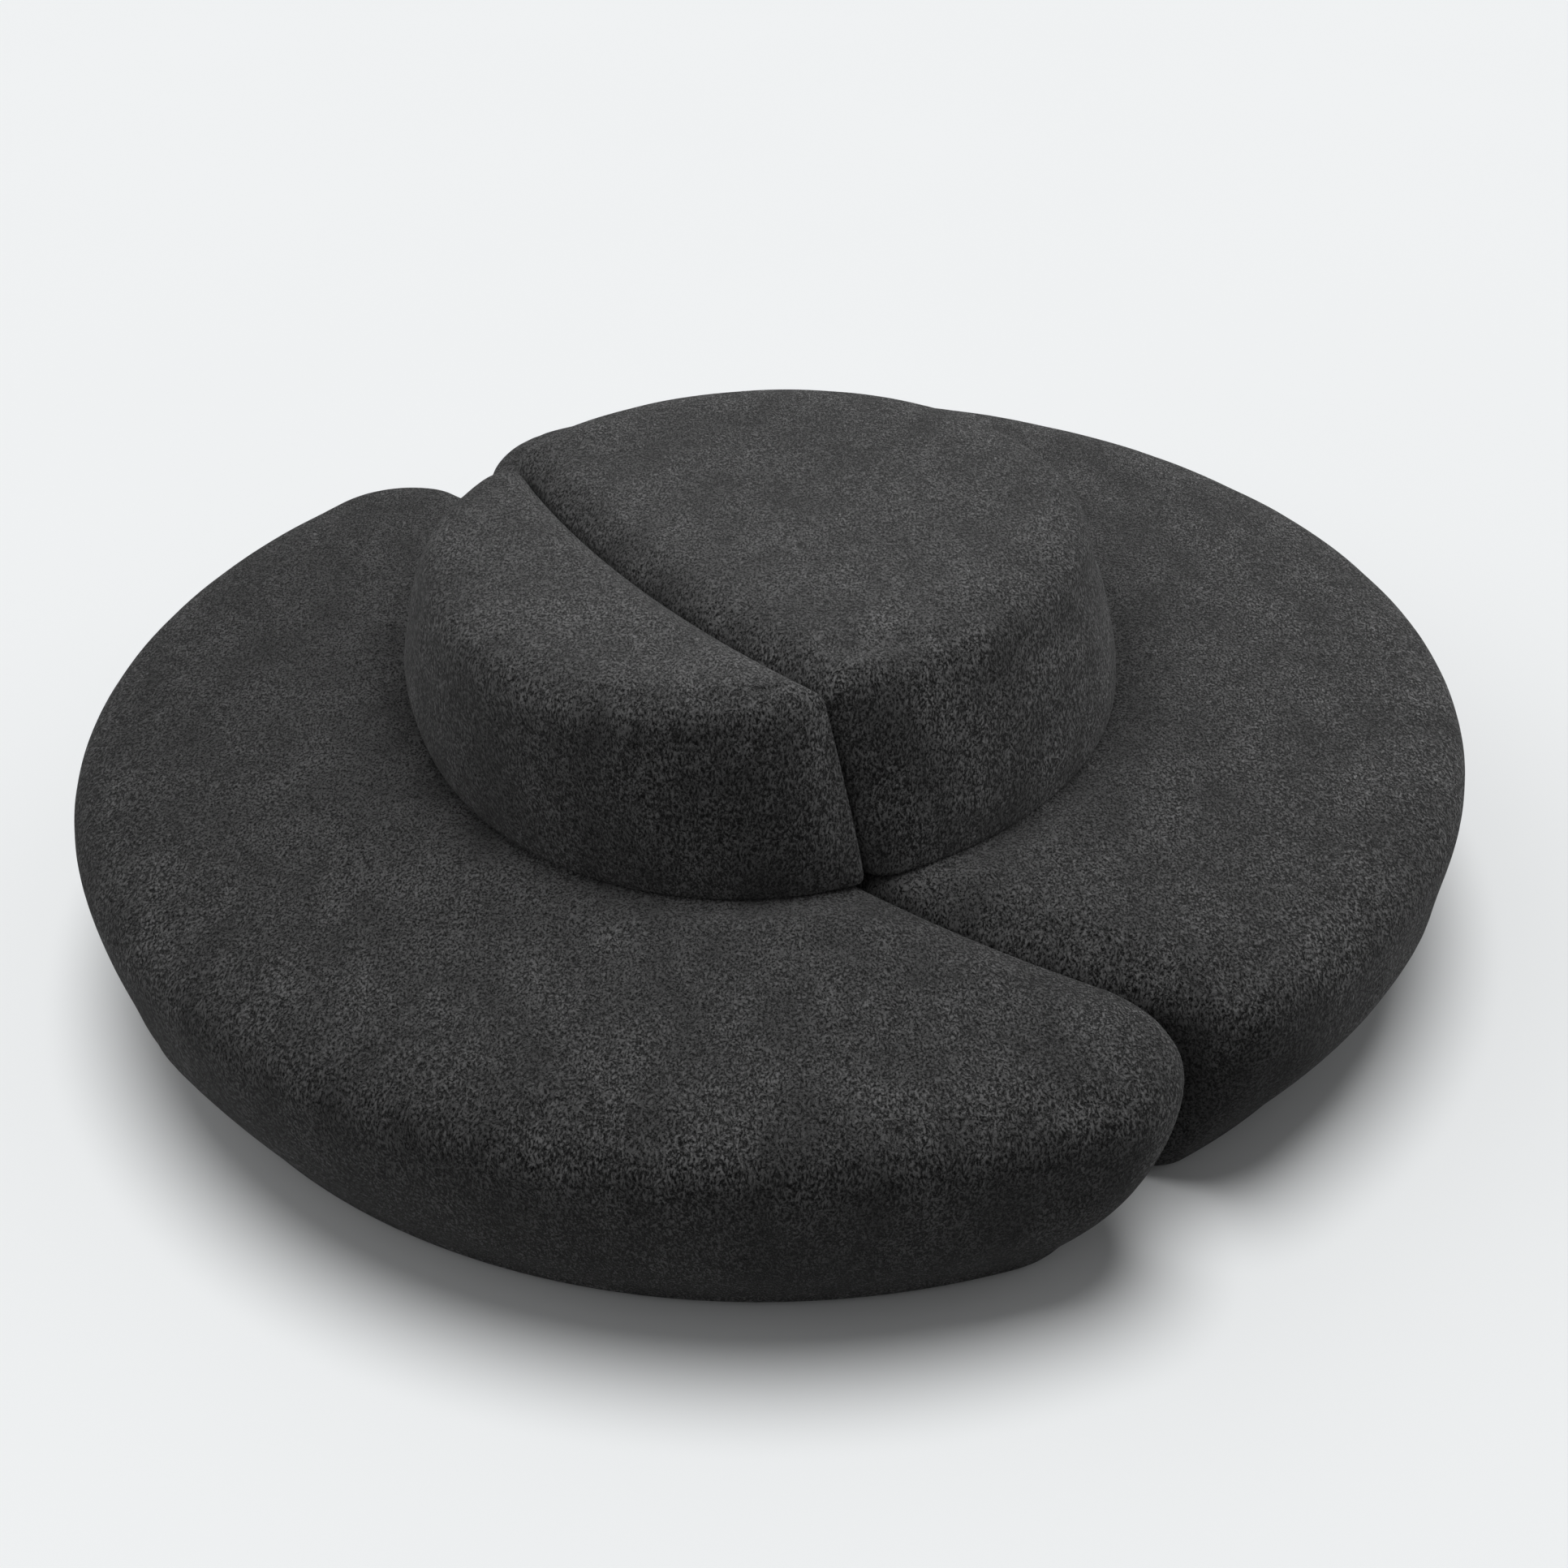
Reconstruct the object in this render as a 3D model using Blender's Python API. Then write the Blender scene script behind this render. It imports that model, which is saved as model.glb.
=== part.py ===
"""Round island sofa made of two free-standing upholstered modules that nest along one curved seam.

The front module is a crescent seat with a narrow backrest, the rear module a fuller seat with a
wide backrest. Together they form a low round seat around one round backrest. Metres, +Z up, with
the floor at z = 0, the origin under the middle of the island and the front towards -Y.
"""
import math

import bmesh
import bpy
from mathutils import Vector

# Seam between the modules: one arc seen from above, hollow on the front module.
SEAM_MIDDLE = (-0.2636, -0.1833)
SEAM_DEGREES = 214.81
SEAM_RADIUS = 2.383
SEAM_GAP = 0.0006

# Ovals seen from above: how far each reaches from the middle of the seam, how far its centre is
# shifted along the seam, its mean radius, its ovality as a share of that, and its long direction.
FRONT_SEAT_REACH = 0.9920
FRONT_SEAT_SHIFT = 0.0260
FRONT_SEAT_RADIUS = 1.340
FRONT_SEAT_OVAL_SHARE = 0.026
FRONT_SEAT_LONG_DEGREES = 42.0
REAR_SEAT_REACH = 1.6667
REAR_SEAT_SHIFT = -0.0183
REAR_SEAT_RADIUS = 1.272
REAR_SEAT_OVAL_SHARE = 0.013
REAR_SEAT_LONG_DEGREES = 75.0
FRONT_BACK_FOOT_REACH = 0.4334
FRONT_BACK_FOOT_SHIFT = -0.0822
FRONT_BACK_FOOT_RADIUS = 0.652
FRONT_BACK_TOP_REACH = 0.4170
FRONT_BACK_TOP_SHIFT = 0.0031
FRONT_BACK_TOP_RADIUS = 0.485
FRONT_BACK_OVAL_SHARE = 0.111
FRONT_BACK_LONG_DEGREES = 106.6
REAR_BACK_FOOT_REACH = 0.9925
REAR_BACK_FOOT_SHIFT = -0.0328
REAR_BACK_FOOT_RADIUS = 0.701
REAR_BACK_TOP_REACH = 0.9092
REAR_BACK_TOP_SHIFT = -0.0288
REAR_BACK_TOP_RADIUS = 0.612
REAR_BACK_OVAL_SHARE = 0.041
REAR_BACK_LONG_DEGREES = 52.0

# Corner radii seen from above, at the left end and the right end of the seam.
FRONT_SEAT_CORNERS = (0.205, 0.190)
REAR_SEAT_CORNERS = (0.240, 0.090)
FRONT_BACK_CORNERS = (0.035, 0.024)
REAR_BACK_CORNERS = (0.070, 0.060)
LEAST_CORNER = 0.0025

# Heights and edge shapes of the upholstery.
SEAT_HEIGHT = 0.401
SEAT_CROWN = 0.006
SEAT_CROWN_WIDTH = 0.110
SEAT_TAPER = 0.102
SEAT_TAPER_POWER = 1.8
SEAT_TOP_ROUND = 0.0425
SEAT_BOTTOM_ROUND = 0.030
TOTAL_HEIGHT = 0.744
BACK_CROWN = 0.005
BACK_CROWN_WIDTH = 0.070
BACK_TOP_ROUND = 0.038
BACK_FOOT_ROUND = 0.008
COVER_THICKNESS = 0.0025
SEAT_HEM_WIDTH = 0.030
BACK_HEM_WIDTH = 0.037

# Clearances between pieces that touch, and how far a cutter runs past what it cuts.
FIT_GAP = 0.0003
FOAM_GAP = 0.0005
PANEL_GAP = 0.0008
OVERRUN = 0.020

# Seat frame, from the floor up.
GLIDE_HEIGHT = 0.012
GLIDE_RADIUS = 0.030
GLIDE_EDGE = 0.002
NAIL_RADIUS = 0.0025
NAIL_LENGTH = 0.014
NAIL_POINT = 0.004
BOARD_THICKNESS = 0.018
RIM_HEIGHT = 0.200
RIM_THICKNESS = 0.012
RIM_OUTER_INSET = 0.137
RIM_SEAM_INSET = 0.035
RIB_END_CLEARANCE = 0.028
DUST_COVER_THICKNESS = 0.0006
DUST_COVER_MARGIN = 0.003
WEBBING_THICKNESS = 0.002
WEBBING_WIDTH = 0.060
WEBBING_LAP = 0.030

# Backrest frame.
BACK_BOARD_THICKNESS = 0.018
BACK_TOP_BOARD_THICKNESS = 0.012
BACK_PANEL_THICKNESS = 0.005
BACK_SIDE_PADDING = 0.032
BACK_SEAM_PADDING = 0.020
BACK_TOP_PADDING = 0.050

# Steel stand that holds a backrest down on its seat deck, and the bolts into its legs.
STAND_PLATE_THICKNESS = 0.004
STAND_PLATE_BORDER = 0.024
LEG_RADIUS = 0.0125
BOLT_RADIUS = 0.005
BOLT_LENGTH = 0.070
BOLT_HEAD_RADIUS = 0.0095
BOLT_HEAD_HEIGHT = 0.0065

# Link hooks under the front module, their shoulder screws, and the like screws under the rear one.
LINK_INSET = 0.090
HOOK_HALF_WIDTH = 0.014
HOOK_THICKNESS = 0.003
HOOK_TIP = 0.016
HOOK_STOWED_DEGREES = 95.0
LINK_PIN_RADIUS = 0.005
LINK_THREAD_RADIUS = 0.003
LINK_THREAD_LENGTH = 0.014
LINK_HEAD_RADIUS = 0.010
LINK_HEAD_HEIGHT = 0.003
LINK_NOTCH_CLEARANCE = 0.0008

# Places along the seam, of the links as lengths and of the ribs as shares of the oval's radius.
LINKS_ACROSS = (-0.560, 0.560)
FRONT_RIB_SHARES = (-0.448, -0.090, 0.448)
REAR_RIB_SHARES = (-0.472, -0.094, 0.472)
FRONT_BACK_RIB_SHARES = (-0.184,)
REAR_BACK_RIB_SHARES = (-0.285, 0.285)

# Legs of the backrest stands, anticlockwise seen from above: along the seam and away from its
# middle, as shares of the radius of the backrest's foot.
FRONT_LEG_SHARES = ((0.491, 0.153), (-0.491, 0.153), (0.046, 0.322))
REAR_LEG_SHARES = ((-0.514, 0.328), (0.514, 0.328), (0.043, 1.098))

# Openings in a seat deck: from one direction to another, between two insets from the rim.
FRONT_OPENING_DEGREES = ((152.0, 204.0), (226.0, 278.0))
REAR_OPENING_DEGREES = ((-20.0, 26.0), (44.0, 90.0))
OPENING_INSETS = (0.200, 0.450)
STRAP_COUNTS = (3, 2)

# Glides: directions around the rim, and places along the seam as shares of the seat's radius.
GLIDE_RIM_INSET = 0.235
GLIDE_SEAM_INSET = 0.140
FRONT_GLIDE_DEGREES = (165.0, 215.0, 265.0)
REAR_GLIDE_DEGREES = (-15.0, 35.0, 85.0)
FRONT_GLIDE_SHARES = (-0.582, 0.612)
REAR_GLIDE_SHARES = (-0.597, 0.597)

# How finely the outlines and edges are drawn.
SEAT_STEPS = (24, 10, 4)
BACK_STEPS = (20, 10, 2)
SEAT_FRAME_STEPS = (12, 10, 2)
BACK_FRAME_STEPS = (10, 10, 1)
OPENING_STEPS = 5
ROUND_SIDES = 10
NOTCH_STEPS = 6
MOUTH_STEPS = 2
CORNER_STEPS = 4
SEARCH_STEPS = 44
BOTTOM_ROUND_DEGREES = (90, 40)
LINING_BOTTOM_DEGREES = (90,)
TOP_ROUND_DEGREES = (35, 62, 90)
LINING_ROUND_DEGREES = (45, 90)
SEAT_SIDE_SHARES = (0.0, 0.25, 0.5, 0.75, 1.0)
SEAT_LINING_SHARES = (0.0, 0.5, 1.0)
BACK_SIDE_SHARES = (0.0, 0.5, 1.0)
SHARP_DEGREES = 30

# Finishes: colour, roughness and metallic value.
FABRIC = ((0.030, 0.030, 0.031), 1.0, 0.0)
FOAM = ((0.620, 0.600, 0.500), 0.95, 0.0)
PLYWOOD = ((0.500, 0.360, 0.210), 0.7, 0.0)
LINING_CLOTH = ((0.012, 0.012, 0.012), 1.0, 0.0)
WEBBING = ((0.055, 0.050, 0.045), 0.9, 0.0)
PLASTIC = ((0.010, 0.010, 0.010), 0.5, 0.0)
STEEL = ((0.420, 0.420, 0.430), 0.35, 1.0)

# Sides of the seam, seen from its centre: the front module lies outside its circle.
FRONT = 1
REAR = -1

# Heights worked out from the sizes above.
BOARD_BOTTOM = GLIDE_HEIGHT + FIT_GAP
BOARD_TOP = BOARD_BOTTOM + BOARD_THICKNESS
HEM_TOP = BOARD_BOTTOM - FIT_GAP
HEM_BOTTOM = HEM_TOP - COVER_THICKNESS
SEAT_FOOT = HEM_BOTTOM + SEAT_BOTTOM_ROUND
SEAT_SHOULDER = SEAT_HEIGHT - SEAT_CROWN - SEAT_TOP_ROUND
RIM_BOTTOM = BOARD_TOP + FIT_GAP
RIM_TOP = RIM_BOTTOM + RIM_HEIGHT
DECK_BOTTOM = RIM_TOP + FIT_GAP
DECK_TOP = DECK_BOTTOM + BOARD_THICKNESS
WEBBING_BOTTOM = DECK_TOP + FIT_GAP
WEBBING_TOP = WEBBING_BOTTOM + WEBBING_THICKNESS
FOAM_UNDERSIDE = WEBBING_TOP + FIT_GAP
BACK_HEM_BOTTOM = SEAT_HEIGHT + FIT_GAP
BACK_HEM_TOP = BACK_HEM_BOTTOM + COVER_THICKNESS
BACK_FOOT = BACK_HEM_BOTTOM + BACK_FOOT_ROUND
BACK_SHOULDER = TOTAL_HEIGHT - BACK_CROWN - BACK_TOP_ROUND
BACK_BOARD_BOTTOM = BACK_HEM_TOP + FIT_GAP
BACK_BOARD_TOP = BACK_BOARD_BOTTOM + BACK_BOARD_THICKNESS
STAND_PLATE_BOTTOM = BACK_BOARD_TOP + FIT_GAP
STAND_PLATE_TOP = STAND_PLATE_BOTTOM + STAND_PLATE_THICKNESS
BACK_TOP_BOARD_TOP = TOTAL_HEIGHT - COVER_THICKNESS - BACK_TOP_PADDING
BACK_TOP_BOARD_BOTTOM = BACK_TOP_BOARD_TOP - BACK_TOP_BOARD_THICKNESS
BACK_HOLLOW_TOP = BACK_TOP_BOARD_TOP + FIT_GAP
HOOK_TOP = HEM_BOTTOM - FOAM_GAP
HOOK_BOTTOM = HOOK_TOP - HOOK_THICKNESS
LINK_HEAD_TOP = HOOK_BOTTOM - FIT_GAP

# Square to the seam at its middle, towards the front module, then along the seam, then its centre.
ALONG = Vector((math.cos(math.radians(SEAM_DEGREES)), math.sin(math.radians(SEAM_DEGREES))))
ACROSS = Vector((-ALONG.y, ALONG.x))
SEAM = Vector(SEAM_MIDDLE) - ALONG * SEAM_RADIUS

for old in list(bpy.data.objects):
    bpy.data.objects.remove(old, do_unlink=True)


def direction(angle):
    """Unit vector at an angle seen from above."""
    return Vector((math.cos(angle), math.sin(angle)))


def grid_point(side, across, along):
    """Place of a point given along the seam and away from its middle."""
    return SEAM + ACROSS * across + ALONG * (SEAM_RADIUS + along * side)


def oval(side, reach, shift, radius, share, degrees):
    """One oval outline: centre, mean radius, ovality share and long direction in radians."""
    return grid_point(side, shift, reach - radius), radius, share, math.radians(degrees)


def blend_ovals(low, high, share):
    """The oval a given share of the way up between two ovals of one shape."""
    return low[0].lerp(high[0], share), low[1] + (high[1] - low[1]) * share, low[2], low[3]


def oval_point(shape, angle, inset):
    """Point on an oval at a polar angle, moved inwards square to the outline."""
    centre, radius, share, long_angle = shape
    reach = radius * (1 + share * math.cos(2 * (angle - long_angle)))
    slope = -2 * radius * share * math.sin(2 * (angle - long_angle))
    outward = direction(angle)
    tangent = (outward * slope + Vector((-outward.y, outward.x)) * reach).normalized()
    return centre + outward * reach - Vector((tangent.y, -tangent.x)) * inset


def meeting_angle(shape, inset, distance, start, sweep):
    """Angle from start to start + sweep where the inset oval is a distance from the seam centre."""
    near = start
    far = start + sweep
    for _ in range(SEARCH_STEPS):
        middle = (near + far) / 2
        if (oval_point(shape, middle, inset) - SEAM).length < distance:
            near = middle
        else:
            far = middle
    return (near + far) / 2


def arc(centre, start, end, steps, clockwise=False):
    """Points on a round arc from one point to another about a centre, both ends included."""
    first = start - centre
    last = end - centre
    begin = math.atan2(first.y, first.x)
    sweep = (math.atan2(last.y, last.x) - begin) % math.tau
    if clockwise:
        sweep -= math.tau
    turns = [begin + sweep * step / steps for step in range(steps + 1)]
    return [centre + direction(turn) * first.length for turn in turns]


def outline(shape, side, corners, inset, seam_inset, steps):
    """Closed outline of one module: its oval side, two round corners and its seam side."""
    oval_steps, seam_steps, corner_steps = steps
    seam_radius = SEAM_RADIUS + side * (SEAM_GAP / 2 + seam_inset)
    to_seam = SEAM - shape[0]
    start = math.atan2(to_seam.y, to_seam.x)
    ends = []
    for corner, sweep in zip(corners, (math.pi, -math.pi)):
        radius = max(corner - seam_inset, LEAST_CORNER)
        angle = meeting_angle(shape, inset + radius, seam_radius + side * radius, start, sweep)
        middle = oval_point(shape, angle, inset + radius)
        on_seam = SEAM + (middle - SEAM).normalized() * seam_radius
        ends.append((angle, middle, oval_point(shape, angle, inset), on_seam))
    first, last = ends if side == FRONT else reversed(ends)
    sweep = (last[0] - first[0]) % math.tau
    turns = [first[0] + sweep * step / oval_steps for step in range(oval_steps + 1)]
    points = [oval_point(shape, angle, inset) for angle in turns]
    seam_line = arc(SEAM, last[3], first[3], seam_steps, side == FRONT)
    if side == FRONT:
        half_step = (seam_line[0] - SEAM).angle(seam_line[1] - SEAM) / 2
        seam_line = [SEAM + (point - SEAM) / math.cos(half_step) for point in seam_line]
    points += arc(last[1], last[2], last[3], corner_steps)[1:-1]
    points += seam_line
    points += arc(first[1], first[3], first[2], corner_steps)[1:-1]
    return points


def at_height(points, height):
    """Outline points lifted to one height."""
    return [Vector((point.x, point.y, height)) for point in points]


def seam_point(side, across, inset):
    """Point at a distance from the seam, square to it, at a place along it."""
    reach = SEAM_RADIUS + side * (SEAM_GAP / 2 + inset)
    on_seam = grid_point(FRONT, across, math.sqrt(SEAM_RADIUS ** 2 - across ** 2) - SEAM_RADIUS)
    return SEAM + (on_seam - SEAM).normalized() * reach


def line_ends(shape, side, across, inset, seam_inset):
    """Where a line square to the seam meets the seam side and the oval side of an inset outline."""
    seam_radius = SEAM_RADIUS + side * (SEAM_GAP / 2 + seam_inset)
    start = (math.sqrt(seam_radius ** 2 - across ** 2) - SEAM_RADIUS) * side
    near = start
    far = start + 2 * shape[1]
    for _ in range(SEARCH_STEPS):
        middle = (near + far) / 2
        spot = grid_point(side, across, middle) - shape[0]
        edge = oval_point(shape, math.atan2(spot.y, spot.x), inset) - shape[0]
        if spot.length < edge.length:
            near = middle
        else:
            far = middle
    return start, near


def closed_mesh(name, shape):
    """A mesh made of a finished bmesh, with its faces pointing out."""
    bmesh.ops.recalc_face_normals(shape, faces=shape.faces)
    if shape.calc_volume(signed=True) < 0:
        bmesh.ops.reverse_faces(shape, faces=shape.faces)
    mesh = bpy.data.meshes.new(name)
    shape.to_mesh(mesh)
    shape.free()
    return mesh


def finish(name, shape, parent, look, place=(0, 0, 0)):
    """Turns a finished bmesh into a named object with its own material, under its module."""
    mesh = closed_mesh(name, shape)
    mesh.shade_smooth()
    mesh.set_sharp_from_angle(angle=math.radians(SHARP_DEGREES))
    colour, roughness, metallic = look
    material = bpy.data.materials.new(name + "_finish")
    material.use_nodes = True
    shader = material.node_tree.nodes["Principled BSDF"]
    shader.inputs["Base Color"].default_value = (*colour, 1)
    shader.inputs["Roughness"].default_value = roughness
    shader.inputs["Metallic"].default_value = metallic
    mesh.materials.append(material)
    made = bpy.data.objects.new(name, mesh)
    made.location = place
    made.parent = parent
    bpy.context.collection.objects.link(made)
    return made


def loft(shape, rings, closed=False):
    """Joins rings of equal length with triangles whose slanting edges all rise the same way round.

    Both ends are capped unless the last ring meets the first."""
    loops = [[shape.verts.new(point) for point in ring] for ring in rings]
    pairs = list(zip(loops, loops[1:]))
    if closed:
        pairs.append((loops[-1], loops[0]))
    for one, two in pairs:
        if one[0].co.z > two[0].co.z:
            one, two = two, one
        for index in range(len(one)):
            after = (index + 1) % len(one)
            shape.faces.new((one[index], one[after], two[after]))
            shape.faces.new((one[index], two[after], two[index]))
    if not closed:
        caps = [shape.faces.new(loops[0]), shape.faces.new(loops[-1])]
        for cap in caps:
            cap.normal_update()
        bmesh.ops.triangulate(shape, faces=caps, quad_method="BEAUTY", ngon_method="EAR_CLIP")


def lofted(name, rings, parent, look, closed=False):
    """A lofted piece as an object."""
    shape = bmesh.new()
    loft(shape, rings, closed)
    return finish(name, shape, parent, look)


def slab(name, points, bottom, top, parent, look):
    """A flat board or sheet of one outline."""
    return lofted(name, [at_height(points, bottom), at_height(points, top)], parent, look)


def revolve(shape, place, profile):
    """A round solid about a vertical line, from radius and height pairs that run down from its top."""
    rings = []
    for radius, height in profile:
        turns = [math.tau * index / ROUND_SIDES for index in range(ROUND_SIDES)]
        if radius == 0:
            turns = [0.0]
        spots = [place + direction(angle) * radius for angle in turns]
        rings.append([shape.verts.new((spot.x, spot.y, height)) for spot in spots])
    for upper, lower in zip(rings, rings[1:]):
        for index in range(ROUND_SIDES):
            after = (index + 1) % ROUND_SIDES
            if len(upper) == 1:
                shape.faces.new((upper[0], lower[index], lower[after]))
            elif len(lower) == 1:
                shape.faces.new((upper[index], lower[0], upper[after]))
            else:
                shape.faces.new((upper[index], lower[index], lower[after], upper[after]))


def revolved(name, place, profile, parent, look):
    """A round piece as an object that stands on its own axis."""
    shape = bmesh.new()
    revolve(shape, Vector((0, 0)), profile)
    return finish(name, shape, parent, look, (place.x, place.y, 0))


def join_or_cut(piece, shape, operation):
    """Joins the solids of a bmesh to a piece, or cuts them out of it."""
    tool = bpy.data.objects.new(piece.name + "_tool", closed_mesh(piece.name + "_tool", shape))
    tool.hide_render = True
    tool.display_type = "WIRE"
    bpy.context.collection.objects.link(tool)
    boolean = piece.modifiers.new("tool", "BOOLEAN")
    boolean.object = tool
    boolean.operation = operation
    boolean.solver = "EXACT"


def cylinders(places, radius, bottom, top):
    """Equal round bars at several places, for one Boolean."""
    shape = bmesh.new()
    for place in places:
        revolve(shape, place, [(0, top), (radius, top), (radius, bottom), (0, bottom)])
    return shape


def seat_ring(module, height, inset, seam_inset, steps=SEAT_STEPS):
    """One level ring of a seat."""
    points = outline(module["seat"], module["side"], module["seat_corners"], inset, seam_inset, steps)
    return at_height(points, height)


def seat_skin(module, depth, bottom_degrees, side_shares, top_degrees):
    """Rings of the seat surface from foot to crown, moved inwards by a depth."""
    rings = []
    for degrees in bottom_degrees:
        angle = math.radians(degrees)
        reach = SEAT_BOTTOM_ROUND - (SEAT_BOTTOM_ROUND - depth) * math.cos(angle)
        height = SEAT_FOOT - (SEAT_BOTTOM_ROUND - depth) * math.sin(angle)
        rings.append(seat_ring(module, height, SEAT_TAPER + reach, reach))
    for share in side_shares:
        taper = SEAT_TAPER * (1 - share) ** SEAT_TAPER_POWER
        height = SEAT_FOOT + (SEAT_SHOULDER - SEAT_FOOT) * share
        rings.append(seat_ring(module, height, taper + depth, depth))
    for degrees in top_degrees:
        angle = math.radians(degrees)
        reach = SEAT_TOP_ROUND - (SEAT_TOP_ROUND - depth) * math.cos(angle)
        height = SEAT_SHOULDER + (SEAT_TOP_ROUND - depth) * math.sin(angle)
        rings.append(seat_ring(module, height, reach, reach))
    crown = SEAT_TOP_ROUND + SEAT_CROWN_WIDTH
    rings.append(seat_ring(module, SEAT_HEIGHT - depth, crown, crown))
    return rings


def make_seat_upholstery(module, legs):
    """Seat cover with its turned-in hem, the foam under it and the dust cover, which is returned."""
    name = module["name"]
    parent = module["root"]
    hem = (SEAT_TAPER + SEAT_BOTTOM_ROUND + SEAT_HEM_WIDTH, SEAT_BOTTOM_ROUND + SEAT_HEM_WIDTH)
    outside = seat_skin(module, 0, BOTTOM_ROUND_DEGREES, SEAT_SIDE_SHARES, TOP_ROUND_DEGREES)
    lining = (LINING_BOTTOM_DEGREES, SEAT_LINING_SHARES, LINING_ROUND_DEGREES)
    inside = seat_skin(module, COVER_THICKNESS, *lining)
    turned_in = [seat_ring(module, HEM_BOTTOM, *hem), seat_ring(module, HEM_TOP, *hem)]
    cover = lofted(name + "_seat_cover", outside[::-1] + turned_in + inside, parent, FABRIC)
    depth = COVER_THICKNESS + FOAM_GAP
    skin = seat_skin(module, depth, (), SEAT_LINING_SHARES, LINING_ROUND_DEGREES)
    wall = (RIM_OUTER_INSET - FIT_GAP, RIM_SEAM_INSET - FIT_GAP)
    hollow = [seat_ring(module, SEAT_FOOT, *wall), seat_ring(module, FOAM_UNDERSIDE, *wall)]
    foam = lofted(name + "_seat_foam", skin[::-1] + hollow, parent, FOAM)
    for piece in (foam, cover):
        holes = cylinders(legs, LEG_RADIUS + FOAM_GAP, DECK_TOP, SEAT_HEIGHT + OVERRUN)
        join_or_cut(piece, holes, "DIFFERENCE")
    sheet_inset = (inset + DUST_COVER_MARGIN for inset in hem)
    sheet_ring = seat_ring(module, HEM_TOP, *sheet_inset, SEAT_FRAME_STEPS)
    sheet_bottom = HEM_TOP - DUST_COVER_THICKNESS
    return slab(name + "_dust_cover", sheet_ring, sheet_bottom, HEM_TOP, parent, LINING_CLOTH)


def make_rib(name, module, across, ends, thickness, heights):
    """An upright board square to the seam, just shorter than the space between two walls."""
    near = ends[0] + RIB_END_CLEARANCE
    far = ends[1] - RIB_END_CLEARANCE
    left = across - thickness / 2
    right = across + thickness / 2
    corners = ((left, near), (right, near), (right, far), (left, far))
    points = [grid_point(module["side"], *corner) for corner in corners]
    slab(name, points, *heights, module["root"], PLYWOOD)


def make_seat_frame(module):
    """Base board, bent rim, ribs and deck of a seat. The two boards are returned."""
    name = module["name"]
    parent = module["root"]
    outer = (RIM_OUTER_INSET, RIM_SEAM_INSET)
    inner = (RIM_OUTER_INSET + RIM_THICKNESS, RIM_SEAM_INSET + RIM_THICKNESS)
    board_ring = seat_ring(module, BOARD_BOTTOM, *outer, SEAT_FRAME_STEPS)
    board = slab(name + "_base_board", board_ring, BOARD_BOTTOM, BOARD_TOP, parent, PLYWOOD)
    deck = slab(name + "_seat_deck", board_ring, DECK_BOTTOM, DECK_TOP, parent, PLYWOOD)
    rim_rings = [
        seat_ring(module, RIM_BOTTOM, *outer, SEAT_FRAME_STEPS),
        seat_ring(module, RIM_TOP, *outer, SEAT_FRAME_STEPS),
        seat_ring(module, RIM_TOP, *inner, SEAT_FRAME_STEPS),
        seat_ring(module, RIM_BOTTOM, *inner, SEAT_FRAME_STEPS),
    ]
    lofted(name + "_seat_rim", rim_rings, parent, PLYWOOD, closed=True)
    for number, share in enumerate(module["ribs"], 1):
        across = share * module["seat"][1]
        ends = line_ends(module["seat"], module["side"], across, *inner)
        make_rib(f"{name}_seat_rib_{number}", module, across, ends, BOARD_THICKNESS, (RIM_BOTTOM, RIM_TOP))
    return board, deck


def opening_edge(module, degrees, inset):
    """Points along one curved edge of a deck opening."""
    start, end = (math.radians(angle) for angle in degrees)
    turns = [start + (end - start) * step / OPENING_STEPS for step in range(OPENING_STEPS + 1)]
    return [oval_point(module["seat"], angle, inset) for angle in turns]


def strap_edges(start, end, count, width, lap):
    """Edges of equal straps spread between two limits, with the free ends of those that cross them."""
    pitch = (end - start) / count
    edges = [start - lap]
    for number in range(count):
        middle = start + pitch * (number + 1 / 2)
        edges += [middle - width / 2, middle + width / 2]
    return edges + [end + lap]


def make_strap_mat(name, module, degrees):
    """Crossed elastic straps over one deck opening, sewn together where they cross."""
    start, end = (math.radians(angle) for angle in degrees)
    near, far = OPENING_INSETS
    reach = module["seat"][1] - (near + far) / 2
    turns = strap_edges(start, end, STRAP_COUNTS[0], WEBBING_WIDTH / reach, WEBBING_LAP / reach)
    insets = strap_edges(near, far, STRAP_COUNTS[1], WEBBING_WIDTH, WEBBING_LAP)
    shape = bmesh.new()
    grid = []
    for angle in turns:
        spots = [oval_point(module["seat"], angle, inset) for inset in insets]
        grid.append([shape.verts.new((spot.x, spot.y, WEBBING_BOTTOM)) for spot in spots])
    for row, (one, two) in enumerate(zip(grid, grid[1:])):
        for column in range(len(insets) - 1):
            if row % 2 or column % 2:
                shape.faces.new((one[column], two[column], two[column + 1], one[column + 1]))
    loose = [vert for vert in shape.verts if not vert.link_faces]
    bmesh.ops.delete(shape, geom=loose, context="VERTS")
    raised = bmesh.ops.extrude_face_region(shape, geom=shape.faces[:], use_keep_orig=True)
    lifted = [part for part in raised["geom"] if isinstance(part, bmesh.types.BMVert)]
    bmesh.ops.translate(shape, vec=(0, 0, WEBBING_THICKNESS), verts=lifted)
    finish(name, shape, module["root"], WEBBING)


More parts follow.
